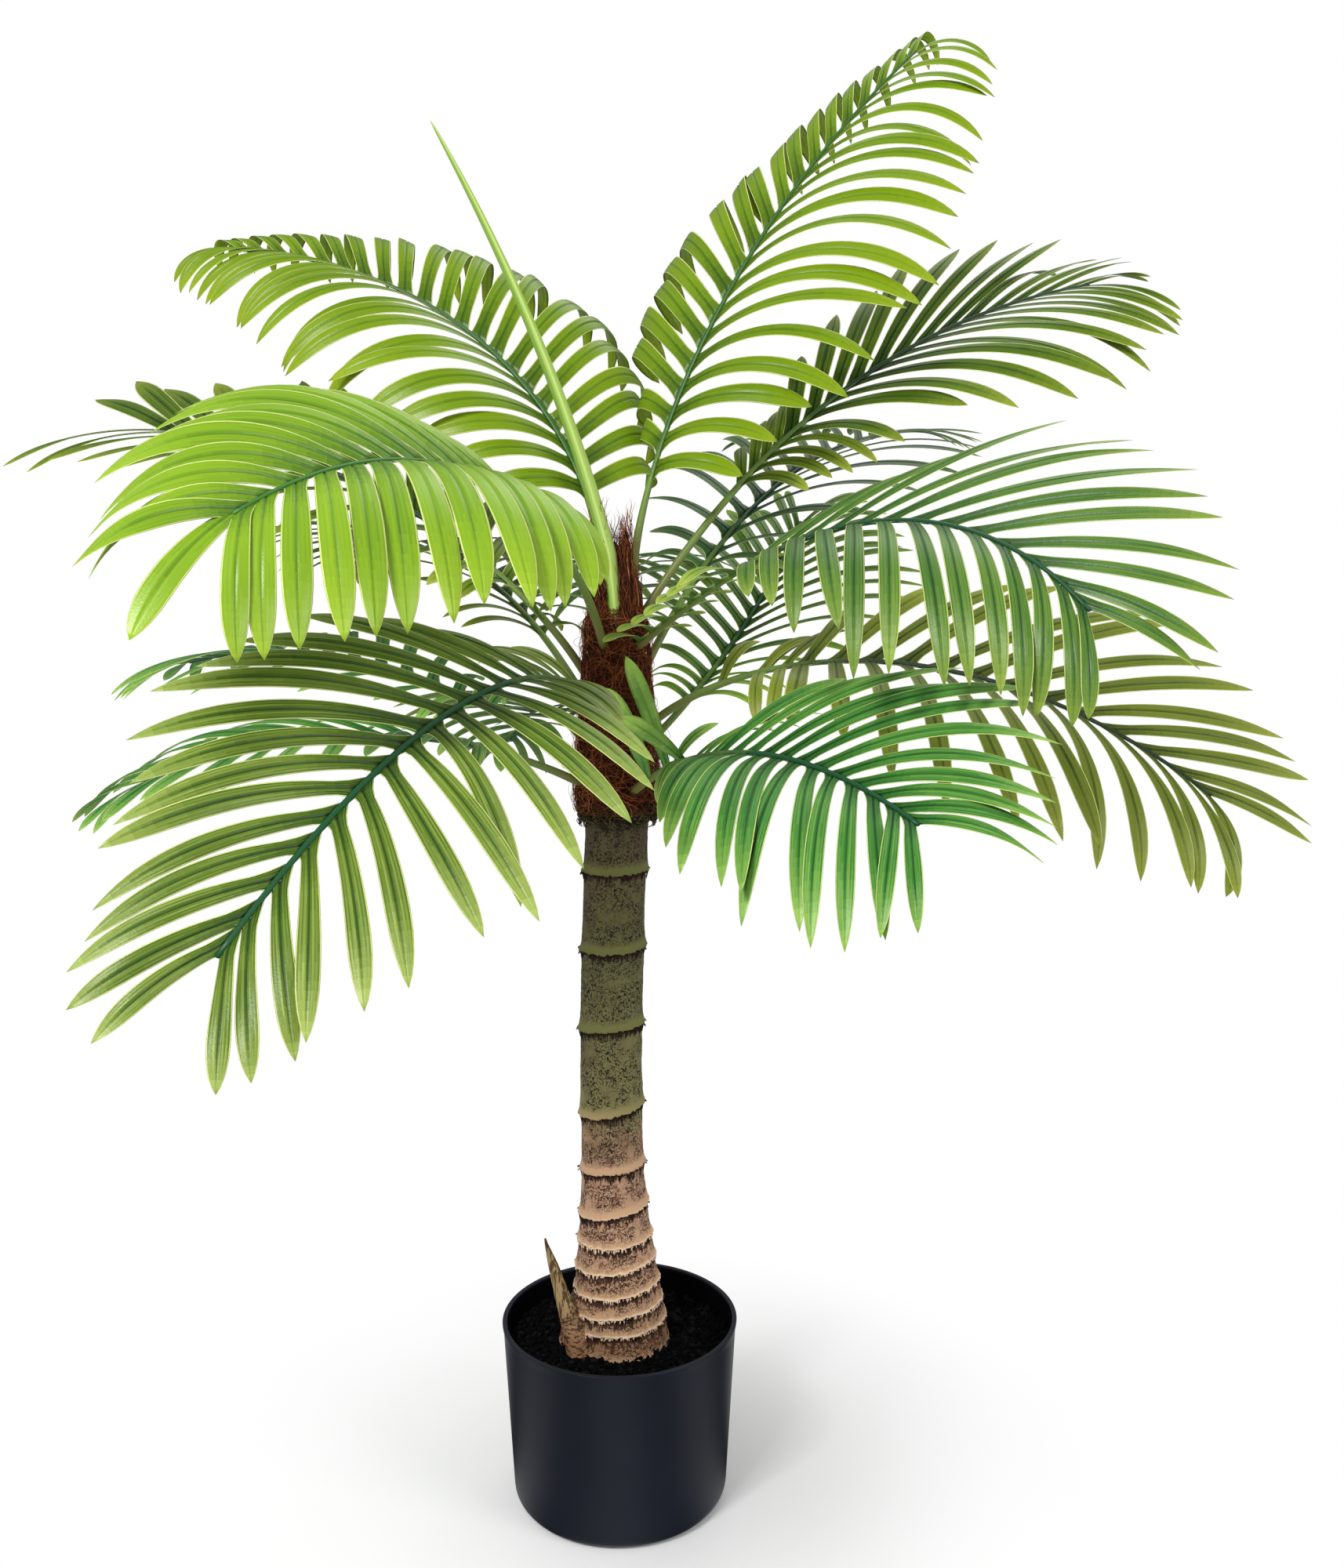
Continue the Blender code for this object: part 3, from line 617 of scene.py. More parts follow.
def direction(heading, slope):
    """Unit vector at a heading from +X and a slope above the level, both in radians."""
    return Vector((cos(slope) * cos(heading), cos(slope) * sin(heading), sin(slope)))


# The frond rule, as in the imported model


def rib_size(sizes, frond, share):
    """Foot, first leaflets and tip sizes, read at a share of the length."""
    if share < frond["bare"]:
        return between(sizes[:2], share / frond["bare"])
    return between(sizes[1:], (share - frond["bare"]) / (1 - frond["bare"]))


def slope_at(frond, share):
    return radians(frond["rise"] + (frond["dip"] - frond["rise"]) * share ** frond["ease"])


def rib_axes(frond, share):
    """Direction of the rib, and of the blade's upper face and left side, at a share of it."""
    slope = slope_at(frond, share)
    heading = radians(frond["azimuth"] + frond["swing"] * share)
    ahead = direction(heading, slope)
    face = Vector((-sin(slope) * cos(heading), -sin(slope) * sin(heading), cos(slope)))
    side = face.cross(ahead)
    roll = radians(frond["roll"]) * min(share / frond["bare"], 1.0)
    return ahead, face * cos(roll) + side * sin(roll), side * cos(roll) - face * sin(roll)


def foot_point(frond):
    """The stalk's foot, on the wrap's flank or on its top."""
    heading = radians(frond["azimuth"])
    slope = slope_at(frond, frond["bare"] / 10)
    half = STALK_THICK[0] / 2
    if frond["foot"] is None:
        radius = wrap_radius(WRAP_TOP) - half - 3 * GAP
        height = WRAP_TOP + GAP + half * cos(slope)
    else:
        height = frond["foot"]
        radius = wrap_radius(height + half * cos(slope)) + GAP + half * sin(slope)
    return Vector((radius * cos(heading), radius * sin(heading), height))


def rib_points(frond, fine=60):
    """Closely spaced points along the rib, foot first."""
    points = [foot_point(frond)]
    for step in range(fine):
        ahead = rib_axes(frond, (step + 0.5) / fine)[0]
        points.append(points[-1] + ahead * frond["length"] / fine)
    return points


def leaflet_length(frond, place):
    """Short at the first leaflets, longest at a third, short again at the tip."""
    if place < 0:
        return frond["leaf"] * max(frond["first"] * (1 + 2 * place), SHORTEST)
    rise = frond["first"] + (1 - frond["first"]) * sin(pi / 2 * min(place / LONGEST_AT, 1.0))
    fall = max(place - LONGEST_AT, 0.0) / (1 - LONGEST_AT)
    return frond["leaf"] * rise * (1 - (1 - frond["last"]) * fall ** 1.5)


def thinning(frond, place):
    """Distance between leaflets at a place, against their mean distance."""
    crowd = frond["crowd"]
    return crowd * max(place, 0.06) ** (crowd - 1)


def leaflet_path(frond, root, share, place, side_sign, habit, steps):
    """Centre points, directions across and upper faces of a leaflet, and its half widths."""
    which = 0 if side_sign > 0 else 1
    more_droop, cut, turn_out, more_twist, sway = habit
    up_the_rib = max(place, 0.0)
    ahead, face, side = rib_axes(frond, share)
    angle = frond["spread"] + (frond["close"] - frond["spread"]) * place - frond["lean"][which]
    lift = frond["lift"][which]
    droop = frond["droop"][which] * (1 - frond["relax"] * up_the_rib) + more_droop
    twist = frond["twist"][which] + more_twist
    length = leaflet_length(frond, place) * cut
    if place < 0 and side_sign < 0 and frond["comb"]:
        angle = COMB_ANGLE
        lift += frond["comb"]
        droop -= frond["comb"]
        twist += COMB_TWIST
        length *= COMB_LENGTH
    reference = side * -side_sign if abs(angle) < TERMINAL_ANGLE else ahead
    angle = radians(angle + turn_out)
    lift, droop, twist, sway = (radians(value) for value in (lift, droop, twist, sway))
    start = cos(angle) * ahead + sin(angle) * (cos(lift) * side * side_sign + sin(lift) * face)
    pull = -frond["under"] * face + (1 - frond["under"]) * Vector((0, 0, -1))
    pull = pull.normalized() - frond["back"][which] * ahead
    pull = (pull - pull.dot(start) * start).normalized()
    spacing = frond["length"] * (1 - frond["bare"]) / (frond["count"] - 1) * thinning(frond, place)
    spread_apart = radians(frond["spread"] - frond["close"]) / (frond["count"] - 1)
    width = frond["blade"]
    if not frond["free"]:
        width = min(width, BLADE_CROWDING * (spacing * sin(angle) + spread_apart * length / 2))
    width *= 1 - frond["narrow"] * up_the_rib
    if place < 0:
        width *= BASAL_WIDTH
    point = root + side * side_sign * rib_size(STALK_WIDTH, frond, share) / 2
    rows = []

    def heading(reach):
        turn = droop * reach ** frond["late"][which]
        straight = start * cos(turn) + pull * sin(turn)
        forward = (ahead - ahead.dot(straight) * straight).normalized()
        return straight * cos(sway * reach) + forward * sin(sway * reach)

    for step in range(steps + 1):
        reach = step / steps
        along = heading(reach)
        across = (reference - reference.dot(along) * along).normalized()
        up = across.cross(along) * side_sign
        lean = twist * sin(pi / 2 * min(reach / TWISTED_AT, 1.0))
        rows.append((point.copy(), across * cos(lean) - up * sin(lean),
                     up * cos(lean) + across * sin(lean), width / 2 * on_line(BLADE_SHAPE, reach)))
        point = point + heading((step + 0.5) / steps) * length / steps
    return rows


def strip_quads(pairs):
    return [(a[0], a[1], b[1], b[0]) for a, b in zip(pairs, pairs[1:])]


def tree_of(quads):
    verts = [vert for quad in quads for vert in quad]
    faces, first = [], 0
    for quad in quads:
        faces.append(tuple(range(first, first + len(quad))))
        first += len(quad)
    return BVHTree.FromPolygons(verts, faces)


def is_clear(quads, world):
    """True where a leaflet neither crosses what is already there nor comes too near it."""
    if world.overlap(tree_of(quads)):
        return False
    for a, b, c, d in quads:
        for left, right in ((a.lerp(d, 0.5), b.lerp(c, 0.5)), (d, c)):
            for point in (left, right, left.lerp(right, 0.5)):
                if world.find_nearest(point, CLEARANCE)[0] is not None:
                    return False
    return True


class Frond:
    """One frond's rib and the leaflets that find room along it."""

    def __init__(self, name):
        self.name = name
        self.sizes = {**FROND, **FRONDS[name]}
        self.points = rib_points(self.sizes)
        self.dice = random.Random(f"{SEED}{name}")
        self.spacing = (1 - self.sizes["bare"]) / (self.sizes["count"] - 1)
        self.blades = []
        self.grown = []

    def at(self, share):
        return between(self.points, share)

    def edge(self, share, side_sign):
        side = rib_axes(self.sizes, share)[2]
        return self.at(share) + side * side_sign * rib_size(STALK_WIDTH, self.sizes, share) / 2

    def rib_quads(self):
        return strip_quads([(self.edge(k / 24, 1), self.edge(k / 24, -1)) for k in range(25)])

    def places(self):
        """Share of the rib and place among the leaflets, of each pair of them."""
        count = self.sizes["count"]
        for k in range(-self.sizes["basal"], count):
            place = (k * BASAL_CROWDING if k < 0 else k) / (count - 1)
            if place > 0:
                place = place ** self.sizes["crowd"]
            share = self.sizes["bare"] + (1 - self.sizes["bare"]) * place
            yield (1 - self.spacing * 0.26 if k == count - 1 else share), place

    def stray(self, most):
        return self.dice.uniform(-most, most)

    def fits(self, world, sizes, share, place, side_sign, habit):
        """Keep a blade if it touches nothing, and tell whether it does."""
        blade = sizes, self.at(share), share, place, side_sign, habit
        rows = leaflet_path(*blade, TEST_STEPS)
        quads = strip_quads([(point - across * half, point + across * half)
                             for point, across, _, half in rows[1:]])
        if not is_clear(quads, world):
            return False
        if self.grown and tree_of(self.grown).overlap(tree_of(quads)):
            return False
        self.blades.append(blade)
        self.grown += quads
        return True

    def grow(self, world):
        """Find room for each leaflet, and return the quads of the whole frond."""
        for share, place in self.places():
            for side_sign in (1, -1):
                turn, droop = self.stray(STRAY_TURN), self.stray(STRAY_DROOP)
                length, twist = self.dice.uniform(*STRAY_LENGTH), self.stray(STRAY_TWIST)
                sway = self.stray(1) * self.sizes["sway"]
                if place < 0:
                    droop += BASAL_DROOP
                for more_droop, cut in TRIES:
                    habit = (more_droop + droop, cut * length, turn, twist, sway)
                    if self.fits(world, self.sizes, share, place, side_sign, habit):
                        break
        for share, side_sign, angle, lift, droop, length, blade, twist in TUFTS.get(self.name, ()):
            sizes = {**self.sizes, "spread": angle, "close": angle, "lift": (lift, lift),
                     "droop": (droop, droop), "leaf": length / SHORTEST, "first": 0.0,
                     "blade": blade / BASAL_WIDTH, "lean": (0, 0), "twist": (twist, twist),
                     "comb": 0.0, "bright": TUFT_BRIGHT if share < 0.5 else END_BRIGHT,
                     "free": True}
            habit = (self.stray(STRAY_DROOP), 1.0, 0.0, self.stray(STRAY_TWIST), 0.0)
            self.fits(world, sizes, share, TUFT_PLACE, side_sign, habit)
        return self.grown + self.rib_quads()

    def blade_mesh(self, blade):
        """Points of one blade, row by row, each row once round the blade."""
        sizes, _, share, place, side_sign, _ = blade
        root = self.spacing * thinning(sizes, place) * ROOT_SHARE / 2
        root *= BASAL_CROWDING if place < 0 else 1.0
        ends = [np.array(self.edge(end, side_sign))
                for end in (max(share - root, 0.0), min(share + root, 1.0))]
        line = np.array(TOP_LINE + UNDER_LINE)
        aside, height = (line[:, :1] + 1) / 2, line[:, 1:] / 1000
        rows = []
        for index, (*axes, half) in enumerate(leaflet_path(*blade, BLADE_STEPS)):
            point, across, up = (np.array(v) for v in axes)
            at_rib = max(1 - index / BLADE_STEPS / ROOT_FADE, 0.0) ** 2
            first, second = ((point + across * half * sign) * (1 - at_rib) + end * at_rib
                             for sign, end in zip((-1, 1), ends))
            relief = min(1.0, half / (FULL_RELIEF * self.sizes["blade"]))
            rows.append(first * (1 - aside) + second * aside + up * height * relief)
        return np.concatenate(rows)

    def blade_tones(self, sizes, place):
        """Tone of every face of a blade, as steps of its look's range, row by row."""
        own = self.stray(0.9) + (2.2 + sizes["bright"] if place < 0 else 0.0)
        strips = TOP_TONES + UNDER_TONES
        veins = VEINS.get(sizes["look"], 0.85) * 1.5
        streakiness = STREAKS.get(sizes["look"], 0.6)
        streaks = [[self.stray(0.9) for _ in range(5)] for _ in strips]
        tones = []
        for k in range(BLADE_STEPS):
            reach = (k + 0.5) / BLADE_STEPS
            # Darker at the rib and lighter at the tip, where the veins run out
            base = 3.6 + 4.0 * min(reach / 0.30, 1.0) + 5.6 * max((reach - 0.60) / 0.40, 0.0) ** 1.3
            flat = max(1 - max((reach - 0.72) / 0.2, 0.0), 0.0)
            for strip, streak in zip(strips, streaks):
                if strip is None:
                    tones.append(TONES)
                else:
                    vein = (strip * veins + between(streak, reach) * streakiness) * flat
                    tones.append(min(max(round(base + own + vein), 0), TONES - 1))
        return tones + [2, TONES - 1]


def leaf_materials(look):
    """The range of tones of a look, from its darkest to its tip, then its edge."""
    rib, blade, tip, _ = (linear(colour) for colour in LOOKS[look])
    stops = (rib * 0.45, rib, blade, between((blade, tip), 0.35), tip)
    made = [plain(f"leaf_{look}_{step}", between(stops, step / (TONES - 1)), 0.36,
                  GLOSS.get(look, 0.26)) for step in range(TONES)]
    edge = between((tip, linear(EDGE_CREAM)), 0.7)
    return made + [plain(f"leaf_{look}_edge", edge, 0.45, 0.3)]


def rib_materials(look):
    """The tones of a stalk, from its foot to the rib's own green."""
    rib = linear(LOOKS[look][3])
    stops = (linear(STALK_FOOT), between((linear(STALK_GREEN), rib), 0.25), rib)
    return [plain(f"rib_{look}_{step}", between(stops, step / (RIB_TONES - 1)), 0.42, 0.4)
            for step in range(RIB_TONES)]


def dress_blades(frond, materials):
    """All the fine leaflets of a frond as one piece."""
    columns = len(TOP_LINE) + len(UNDER_LINE)
    points, faces, indices = [], [], []
    for blade in frond.blades:
        faces += ring_faces(BLADE_STEPS + 1, columns, len(points) * (BLADE_STEPS + 1) * columns)
        points.append(frond.blade_mesh(blade))
        indices += frond.blade_tones(blade[0], blade[3])
    piece(frond.name.replace("frond", "leaflets"), np.concatenate(points), faces, materials,
          frond.name, indices)


def dress_rib(frond, materials):
    """A frond's stalk and rib as an oval tube that starts inside the wrap."""
    shares = [k / RIB_STEPS for k in range(RIB_STEPS + 1)]
    axes = [rib_axes(frond.sizes, share) for share in shares]
    path = [frond.at(share) for share in shares]
    if frond.sizes["foot"] is None:
        foot = Vector((path[0].x * 0.8, path[0].y * 0.8, TRUNK_TOP + WRAP_SPLIT - 0.012))
        before = [foot.lerp(path[0], k / 6) for k in range(6)]
    else:
        before = [path[0] - axes[0][0] * STALK_ROOT]
    shares = [0.0] * len(before) + shares
    points = []
    for point, share, (_, face, side) in zip(before + path, shares, [axes[0]] * len(before) + axes):
        for k in range(RIB_SIDES):
            angle = 2 * pi * k / RIB_SIDES
            width = rib_size(STALK_WIDTH, frond.sizes, share) * cos(angle)
            thick = rib_size(STALK_THICK, frond.sizes, share) * RIB_SLIM * sin(angle)
            points.append(point + side * (width / 2) + face * (thick / 2))
    faces = ring_faces(len(shares), RIB_SIDES)
    indices = []
    for k in range(len(faces)):
        green = shares[min(k // RIB_SIDES, len(shares) - 1)] / frond.sizes["bare"]
        tone = between(RIB_TONE_LINE, green / 1.5) + frond.stray(0.35)
        indices.append(min(max(round(tone), 0), RIB_TONES - 1))
    piece(frond.name.replace("frond", "rib"), points, faces, materials, frond.name, indices)


def node_quads(name):
    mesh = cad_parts[name].data
    return [tuple(mesh.vertices[i].co.copy() for i in face.vertices) for face in mesh.polygons]


def make_fronds():
    blade_palettes = {look: leaf_materials(look) for look in LOOKS}
    rib_palettes = {look: rib_materials(look) for look in LOOKS}
    fronds = [Frond(name) for name in FRONDS]
    taken = [quad for name in ("trunk", "fibre_wrap", "side_shoot", "spear_leaf")
             for quad in node_quads(name)]
    for frond in fronds:
        others = [quad for other in fronds if other is not frond for quad in other.rib_quads()]
        taken += frond.grow(tree_of(taken + others))
        look = frond.sizes["look"]
        dress_blades(frond, blade_palettes[look])
        dress_rib(frond, rib_palettes[look])


def bark_material():
    """Olive above and peach below: clean over each ring, dark strokes under it, then specks."""
    mat, tree = set_up("bark", 0.66, 0.25)
    below, above, height, bulge = (read(tree, key) for key in ("below", "above", "height", "bulge"))
    low_part = height.fade(0.30, 0.20)
    drift = speckle(tree, 60, (1, 1, 0.8)) * 0.10 - 0.05
    colour = (height + drift).ramp(
        (0.00, (150, 111, 80)), (0.10, (172, 132, 102)), (0.22, (185, 145, 116)),
        (0.34, (173, 136, 108)), (0.425, (153, 126, 92)), (0.45, (126, 121, 75)),
        (0.62, (112, 109, 67)), (0.76, (96, 93, 54)), (0.92, (92, 85, 51)), (1.00, (78, 69, 42)))
    stain = speckle(tree, 24, (1, 1, 0.7), 2).fade(0.50, 0.72) * above.fade(8.0, 20.0)
    colour = colour.painted(stain * 0.55, (92, 66, 50))
    flare = height.fade(0.42, 0.50).ramp((0.0, (198, 160, 124)), (1.0, (112, 116, 60)))
    colour = colour.painted(above.fade(10.0, 3.0) * 0.75, flare)
    # Specks, from a few millimetres above each ring
    start = low_part * -3.0 + 5.0
    where = (above - start).maths("DIVIDE", 5.0, clamp=True)
    where = where * speckle(tree, 80, (1, 1, 0.8)).fade(0.32, 0.52)
    fine = speckle(tree, 980, (1, 1, 0.8), 1).fade(0.525, 0.550)
    colour = colour.painted(fine * where * 0.90, (44, 34, 25))
    blots = speckle(tree, 360, (1, 1, 1.2), 3, 0.7).fade(0.56, 0.585)
    colour = colour.painted(blots * where * 0.97, (28, 20, 15))
    waves = speckle(tree, 190, (1, 1, 2.6), 5, 0.75).fade(0.535, 0.575)
    slanted = speckle(tree, 170, (1.0, 1.0, 2.8), turn=0.6).fade(0.50, 0.56)
    waves = (waves * where * height.fade(0.46, 0.38)).maths("MAXIMUM", slanted * bulge)
    colour = colour.painted(waves * 0.85, (84, 47, 29))
    # Strokes under each ring, the dark line at it, and its pale rim
    strokes = speckle(tree, 560, (1, 1, 0.10), 2) * 2.4 - 1.2
    near = (below * (-1 / 8.5)).maths("ADD", 1.0, clamp=True) + low_part * 0.26
    fringe = (strokes + near).fade(0.62, 0.74) * below.fade(10.0, 7.5)
    colour = colour.painted(fringe * 0.92, (60, 34, 21))
    colour = colour.painted(below.fade(2.2, 1.0) * 0.92, (34, 26, 22))
    rim = above.fade(2.6, 0.8) * height.fade(0.36, 0.16)
    colour = colour.painted(rim * 0.8, (238, 208, 176))
    return coloured(mat, colour, speckle(tree, 700, (1, 1, 0.5)) - fringe, 0.0006, 0.9)


def ring_edges(dice, around, rings):
    """Height of each ring, a little ragged, at every place round a stem."""
    level = 0 * around
    edges = []
    for height, tilt in rings:
        ragged = ripple(dice, around, level, 75, 1) * 0.0007
        slow = ripple(dice, around, level, 7, 1) * 0.0006
        edges.append(height + tilt * np.cos(2 * pi * around) + slow + ragged)
    return np.array(edges)


def ring_gaps(height, edges, foot=-FAR):
    """Distance above the next ring down, or else the foot, and below the next ring up."""
    gaps = height - edges
    above = np.where(gaps >= 0, gaps, FAR).min(axis=0)
    below = np.where(gaps < 0, -gaps, FAR).min(axis=0)
    return np.where(above == FAR, height - foot, above), np.where(below == FAR, 0.05, below)


def make_trunk():
    dice = np.random.default_rng(SEED)
    foot = SOIL_TOP - 0.002
    around, along = unrolled(TRUNK_ROWS, TRUNK_COLUMNS)
    height = foot + along * (TRUNK_TOP - foot)
    edges = ring_edges(dice, around, RINGS)
    above, below = ring_gaps(height, edges, foot)
    crowd = np.clip((CROWDED[0] - height) / (CROWDED[0] - CROWDED[1]), 0, 1)
    waist = TRUNK_WAIST * (1 - 0.35 * crowd) * (1 - np.exp(-above / 0.007))
    radius = trunk_radius(height) - waist + RING_LIP * np.exp(-above / 0.0022)
    strokes = ripple(dice, around, along, 110, 60)
    radius += 0.00045 * strokes * np.exp(-below / (0.0022 + 0.003 * crowd))
    teeth = ripple(dice, around, along, 90, 140)
    radius += 0.0008 * crowd * teeth * np.exp(-above / 0.002)
    for size, cells_around, cells_along in TRUNK_RIPPLES:
        radius += size * ripple(dice, around, along, cells_around, cells_along)
    bulge = foot_bulge(around, height)
    points = rolled_up(around, radius + BULGE * bulge, height)
    points[..., 0] += bow_at(height)
    stem("ringed_trunk", points, [bark_material()], "trunk_bark", "trunk", below=below * 1000,
         above=above * 1000, height=along, bulge=np.clip(bulge * 1.4, 0, 1))
    make_ring_hairs(dice, edges[:, 0, :])


def make_ring_hairs(dice, edges):
    """Dark bristles that hang from each ring, a few that stick out, and pale teeth low down."""
    dark = plain("ring_bristle", linear((44, 30, 22)), 0.8, 0.15, None)
    pale = plain("ring_tooth", linear((236, 208, 180)), 0.7, 0.25, None)
    for name, (first_ring, spacing, length, widths, (root, tip), bend) in RING_HAIRS.items():
        paths, thick = [], []
        for ring in range(first_ring, len(RINGS)):
            for _ in range(int(2 * pi * trunk_radius(RINGS[ring][0]) / spacing)):
                around = dice.random()
                edge = edges[ring, int(around * edges.shape[1])]
                drop = dice.uniform(*length)
                share = np.linspace(0, 1, 4)
                turn = around + dice.normal(0, 0.012) * share / (2 * pi)
                height = edge + 0.0006 - drop * share
                radius = trunk_radius(height) + root + (tip - root) * share ** bend
                path = rolled_up(turn, radius + BULGE * foot_bulge(around, edge), height)
                path[:, 0] += bow_at(height)
                paths.append(path)
                thick.append(dice.uniform(*widths))
        threads(name, np.array(paths), thick, pale if name == "ring_teeth" else dark,
                "trunk")


def shoot_material():
    """Olive tan with dark lengthwise lines, and slanting dark bands on the foot."""
    mat, tree = set_up("shoot_bark", 0.62, 0.25)
    below, height = read(tree, "below"), read(tree, "height")
    colour = height.ramp((0.0, (152, 110, 78)), (0.30, (158, 122, 88)), (0.48, (156, 130, 90)),
                         (0.80, (150, 128, 84)), (1.0, (108, 86, 56)))
    lines = speckle(tree, 560, (1, 1, 0.06), 2).fade(0.48, 0.54) * height.fade(0.22, 0.42)
    colour = colour.painted(lines * 0.90, (62, 42, 27))
    bands = speckle(tree, 190, (1, 1, 2.8), turn=0.6).fade(0.50, 0.56) * height.fade(0.48, 0.32)
    colour = colour.painted(bands * 0.88, (58, 36, 23))
    colour = colour.painted(below.fade(0.9, 0.3) * 0.85, (46, 32, 22))
    return coloured(mat, colour, lines * -1.0 + 1.0, 0.0004, 0.8)


def make_side_shoot():
    """The shoot, bent in one smooth curve through its steps, with rings on its thick foot."""
    dice = np.random.default_rng(SEED + 1)
    steps = np.array(SHOOT_STEPS)
    rows, columns, reach = 160, 32, 15
    length = steps[-1, 2] - steps[0, 2]
    around, along = unrolled(rows, columns)
    places = (steps[:, 2] - steps[0, 2]) / length
    curve = np.stack([np.interp(along[:, 0], places, steps[:, k]) for k in range(4)], -1)
    kernel = np.hanning(2 * reach + 1) / np.hanning(2 * reach + 1).sum()
    padded = np.pad(curve, ((reach, reach), (0, 0)), mode="edge")
    smooth = np.stack([np.convolve(padded[:, k], kernel, "valid") for k in range(4)], -1)
    curve[:, :2] = smooth[:, :2]
    curve[:, 3] = np.minimum(smooth[:, 3], curve[:, 3] * 1.15 + 0.0002)
    above, below = ring_gaps(along * length, ring_edges(dice, around, SHOOT_RINGS) * length)
    radius = curve[:, 3:] + 0.0002 * np.exp(-above / 0.0012) * (along < 0.6)
    radius -= 0.0002 * np.exp(-below / 0.001)
    radius += 0.0004 * ripple(dice, around, along, 12, 9) * (1 - along)
    points = curve[:, None, :3] + rolled_up(around, radius, 0 * around)
    stem("ringed_shoot", points, [shoot_material()], "trunk_bark", "side_shoot",
         below=below * 1000, height=along)


def rounded(corners):
    """A profile with each (radius, height, rounding) corner turned into a short curve."""
    made = []
    for index, (radius, height, rounding) in enumerate(corners):
        here = Vector((radius, height))
        if rounding == 0:
            made.append((radius, height))
            continue
        before, after = (Vector(corners[index + side][:2]) for side in (-1, 1))
        first = here + (before - here).normalized() * rounding
        last = here + (after - here).normalized() * rounding
        for step in range(CORNER_STEPS + 1):
            t = step / CORNER_STEPS
            made.append(tuple(first * (1 - t) ** 2 + here * (2 * t * (1 - t)) + last * t ** 2))
    return made


def make_pot():
    """The pot, turned from its profile, with its inside made darker and duller than its outside as
    painted shade.
    """
    mat, tree = set_up("pot_plastic", 0.31, 0.22)
    tone = speckle(tree, 9, detail=2).ramp((0.35, (24, 27, 36)), (0.65, (29, 32, 43)))
    coloured(mat, tone, grain(tree, 1400), 0.00004, 0.5)
    inner_top = POT_TOP_RADIUS - POT_WALL
    profile = rounded((
        (0.0, POT_WALL, 0), (POT_FOOT_RADIUS - POT_WALL, POT_WALL, 0.002),
        (inner_top, POT_HEIGHT - POT_LIP, 0.001),
        (inner_top + 0.0005, POT_HEIGHT, 0.0006), (POT_RIM_RADIUS - 0.0004, POT_HEIGHT, 0.0005),
        (POT_RIM_RADIUS - 0.0006, POT_HEIGHT - POT_LIP, 0.0009),
        (POT_TOP_RADIUS, POT_HEIGHT - POT_LIP - POT_LIP_FLARE, 0.0025),
        (POT_FOOT_RADIUS, 0.0, POT_FOOT_ROUNDING), (0.0, 0.0, 0)))
    *rings, last = profile[1:]
    turn = 2 * pi * np.arange(POT_SIDES) / POT_SIDES
    points = [(r * cos(t), r * sin(t), z) for r, z in rings for t in turn]
    points += [(0.0, 0.0, profile[0][1]), (0.0, 0.0, last[1])]
    # The first two corners are the inside
    inside = 2 * (CORNER_STEPS + 1) - 1
    bands = [int(k < inside) for k in range(len(rings) - 1)] + [1, 0]
    # Painted shade: the inside is a darker, duller copy of the pot's plastic
    dark = plain("pot_inside_painted_shade", linear((9, 9, 12)), 0.55, 0.06)
    piece("round_pot", points, spun_faces(len(rings), POT_SIDES, True), [mat, dark],
          "pot", np.repeat(bands, POT_SIDES))


def make_soil():
    """Black crumbs over the filling: a lumpy top and many loose grains, half sunk in it."""
    dice = np.random.default_rng(SEED + 2)
    grains = [plain("soil_black_grain", linear((6, 6, 8)), 0.85, 0.06, (500, 0.0006)),
              plain("soil_grey_grain", linear((15, 15, 18)), 0.8, 0.10, (500, 0.0006))]
    rings, sides = 42, 120
    share = (SOIL_TOP - POT_WALL) / (POT_HEIGHT - POT_LIP - POT_WALL)
    limit = POT_FOOT_RADIUS - POT_WALL + (POT_TOP_RADIUS - POT_FOOT_RADIUS) * share - GAP
    points = []
    for i in range(1, rings + 1):
        for t in 2 * pi * np.arange(sides) / sides:
            x, y = limit * i / rings * cos(t), limit * i / rings * sin(t)
            spot = Vector((x, y, 0.3))
            lump = noise.noise(spot * 90) * 0.0022 + noise.noise(spot * 260) * 0.0014
            points.append((x, y, SOIL_TOP + 0.0004 + (lump if i < rings else 0.0)))
    points.append((0.0, 0.0, SOIL_TOP))
    piece("soil_crust", points, spun_faces(rings, sides, False), grains[:1])
    bm = bmesh.new()
    bmesh.ops.create_icosphere(bm, subdivisions=1, radius=1.0)
    ball = np.array([tuple(vert.co) for vert in bm.verts])
    ball_faces = [tuple(vert.index for vert in face.verts) for face in bm.faces]
    bm.free()
    points, faces, indices = [], [], []
    for _ in range(CRUMBS):
        size = 0.0008 + 0.0022 * dice.random() ** 2.2
        r = (limit - size * 1.2) * dice.random() ** 0.5
        t = dice.uniform(0, 2 * pi)
        if r < TRUNK_FOOT_RADIUS - 0.003:
            continue
        shape = ball * dice.uniform(0.6, 1.3, 3) * size * dice.uniform(0.75, 1.2, (len(ball), 1))
        lift = SOIL_TOP + dice.uniform(0.0, 0.0022)
        faces += [tuple(i + len(points) * len(ball) for i in face) for face in ball_faces]
        points.append(shape + (r * cos(t), r * sin(t), lift))
        indices += [int(dice.random() < 0.3)] * len(ball_faces)
    piece("soil_crumbs", np.concatenate(points), faces, grains, None, indices, False)
    for mat_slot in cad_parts["soil"].material_slots:
        mat_slot.material = grains[0]


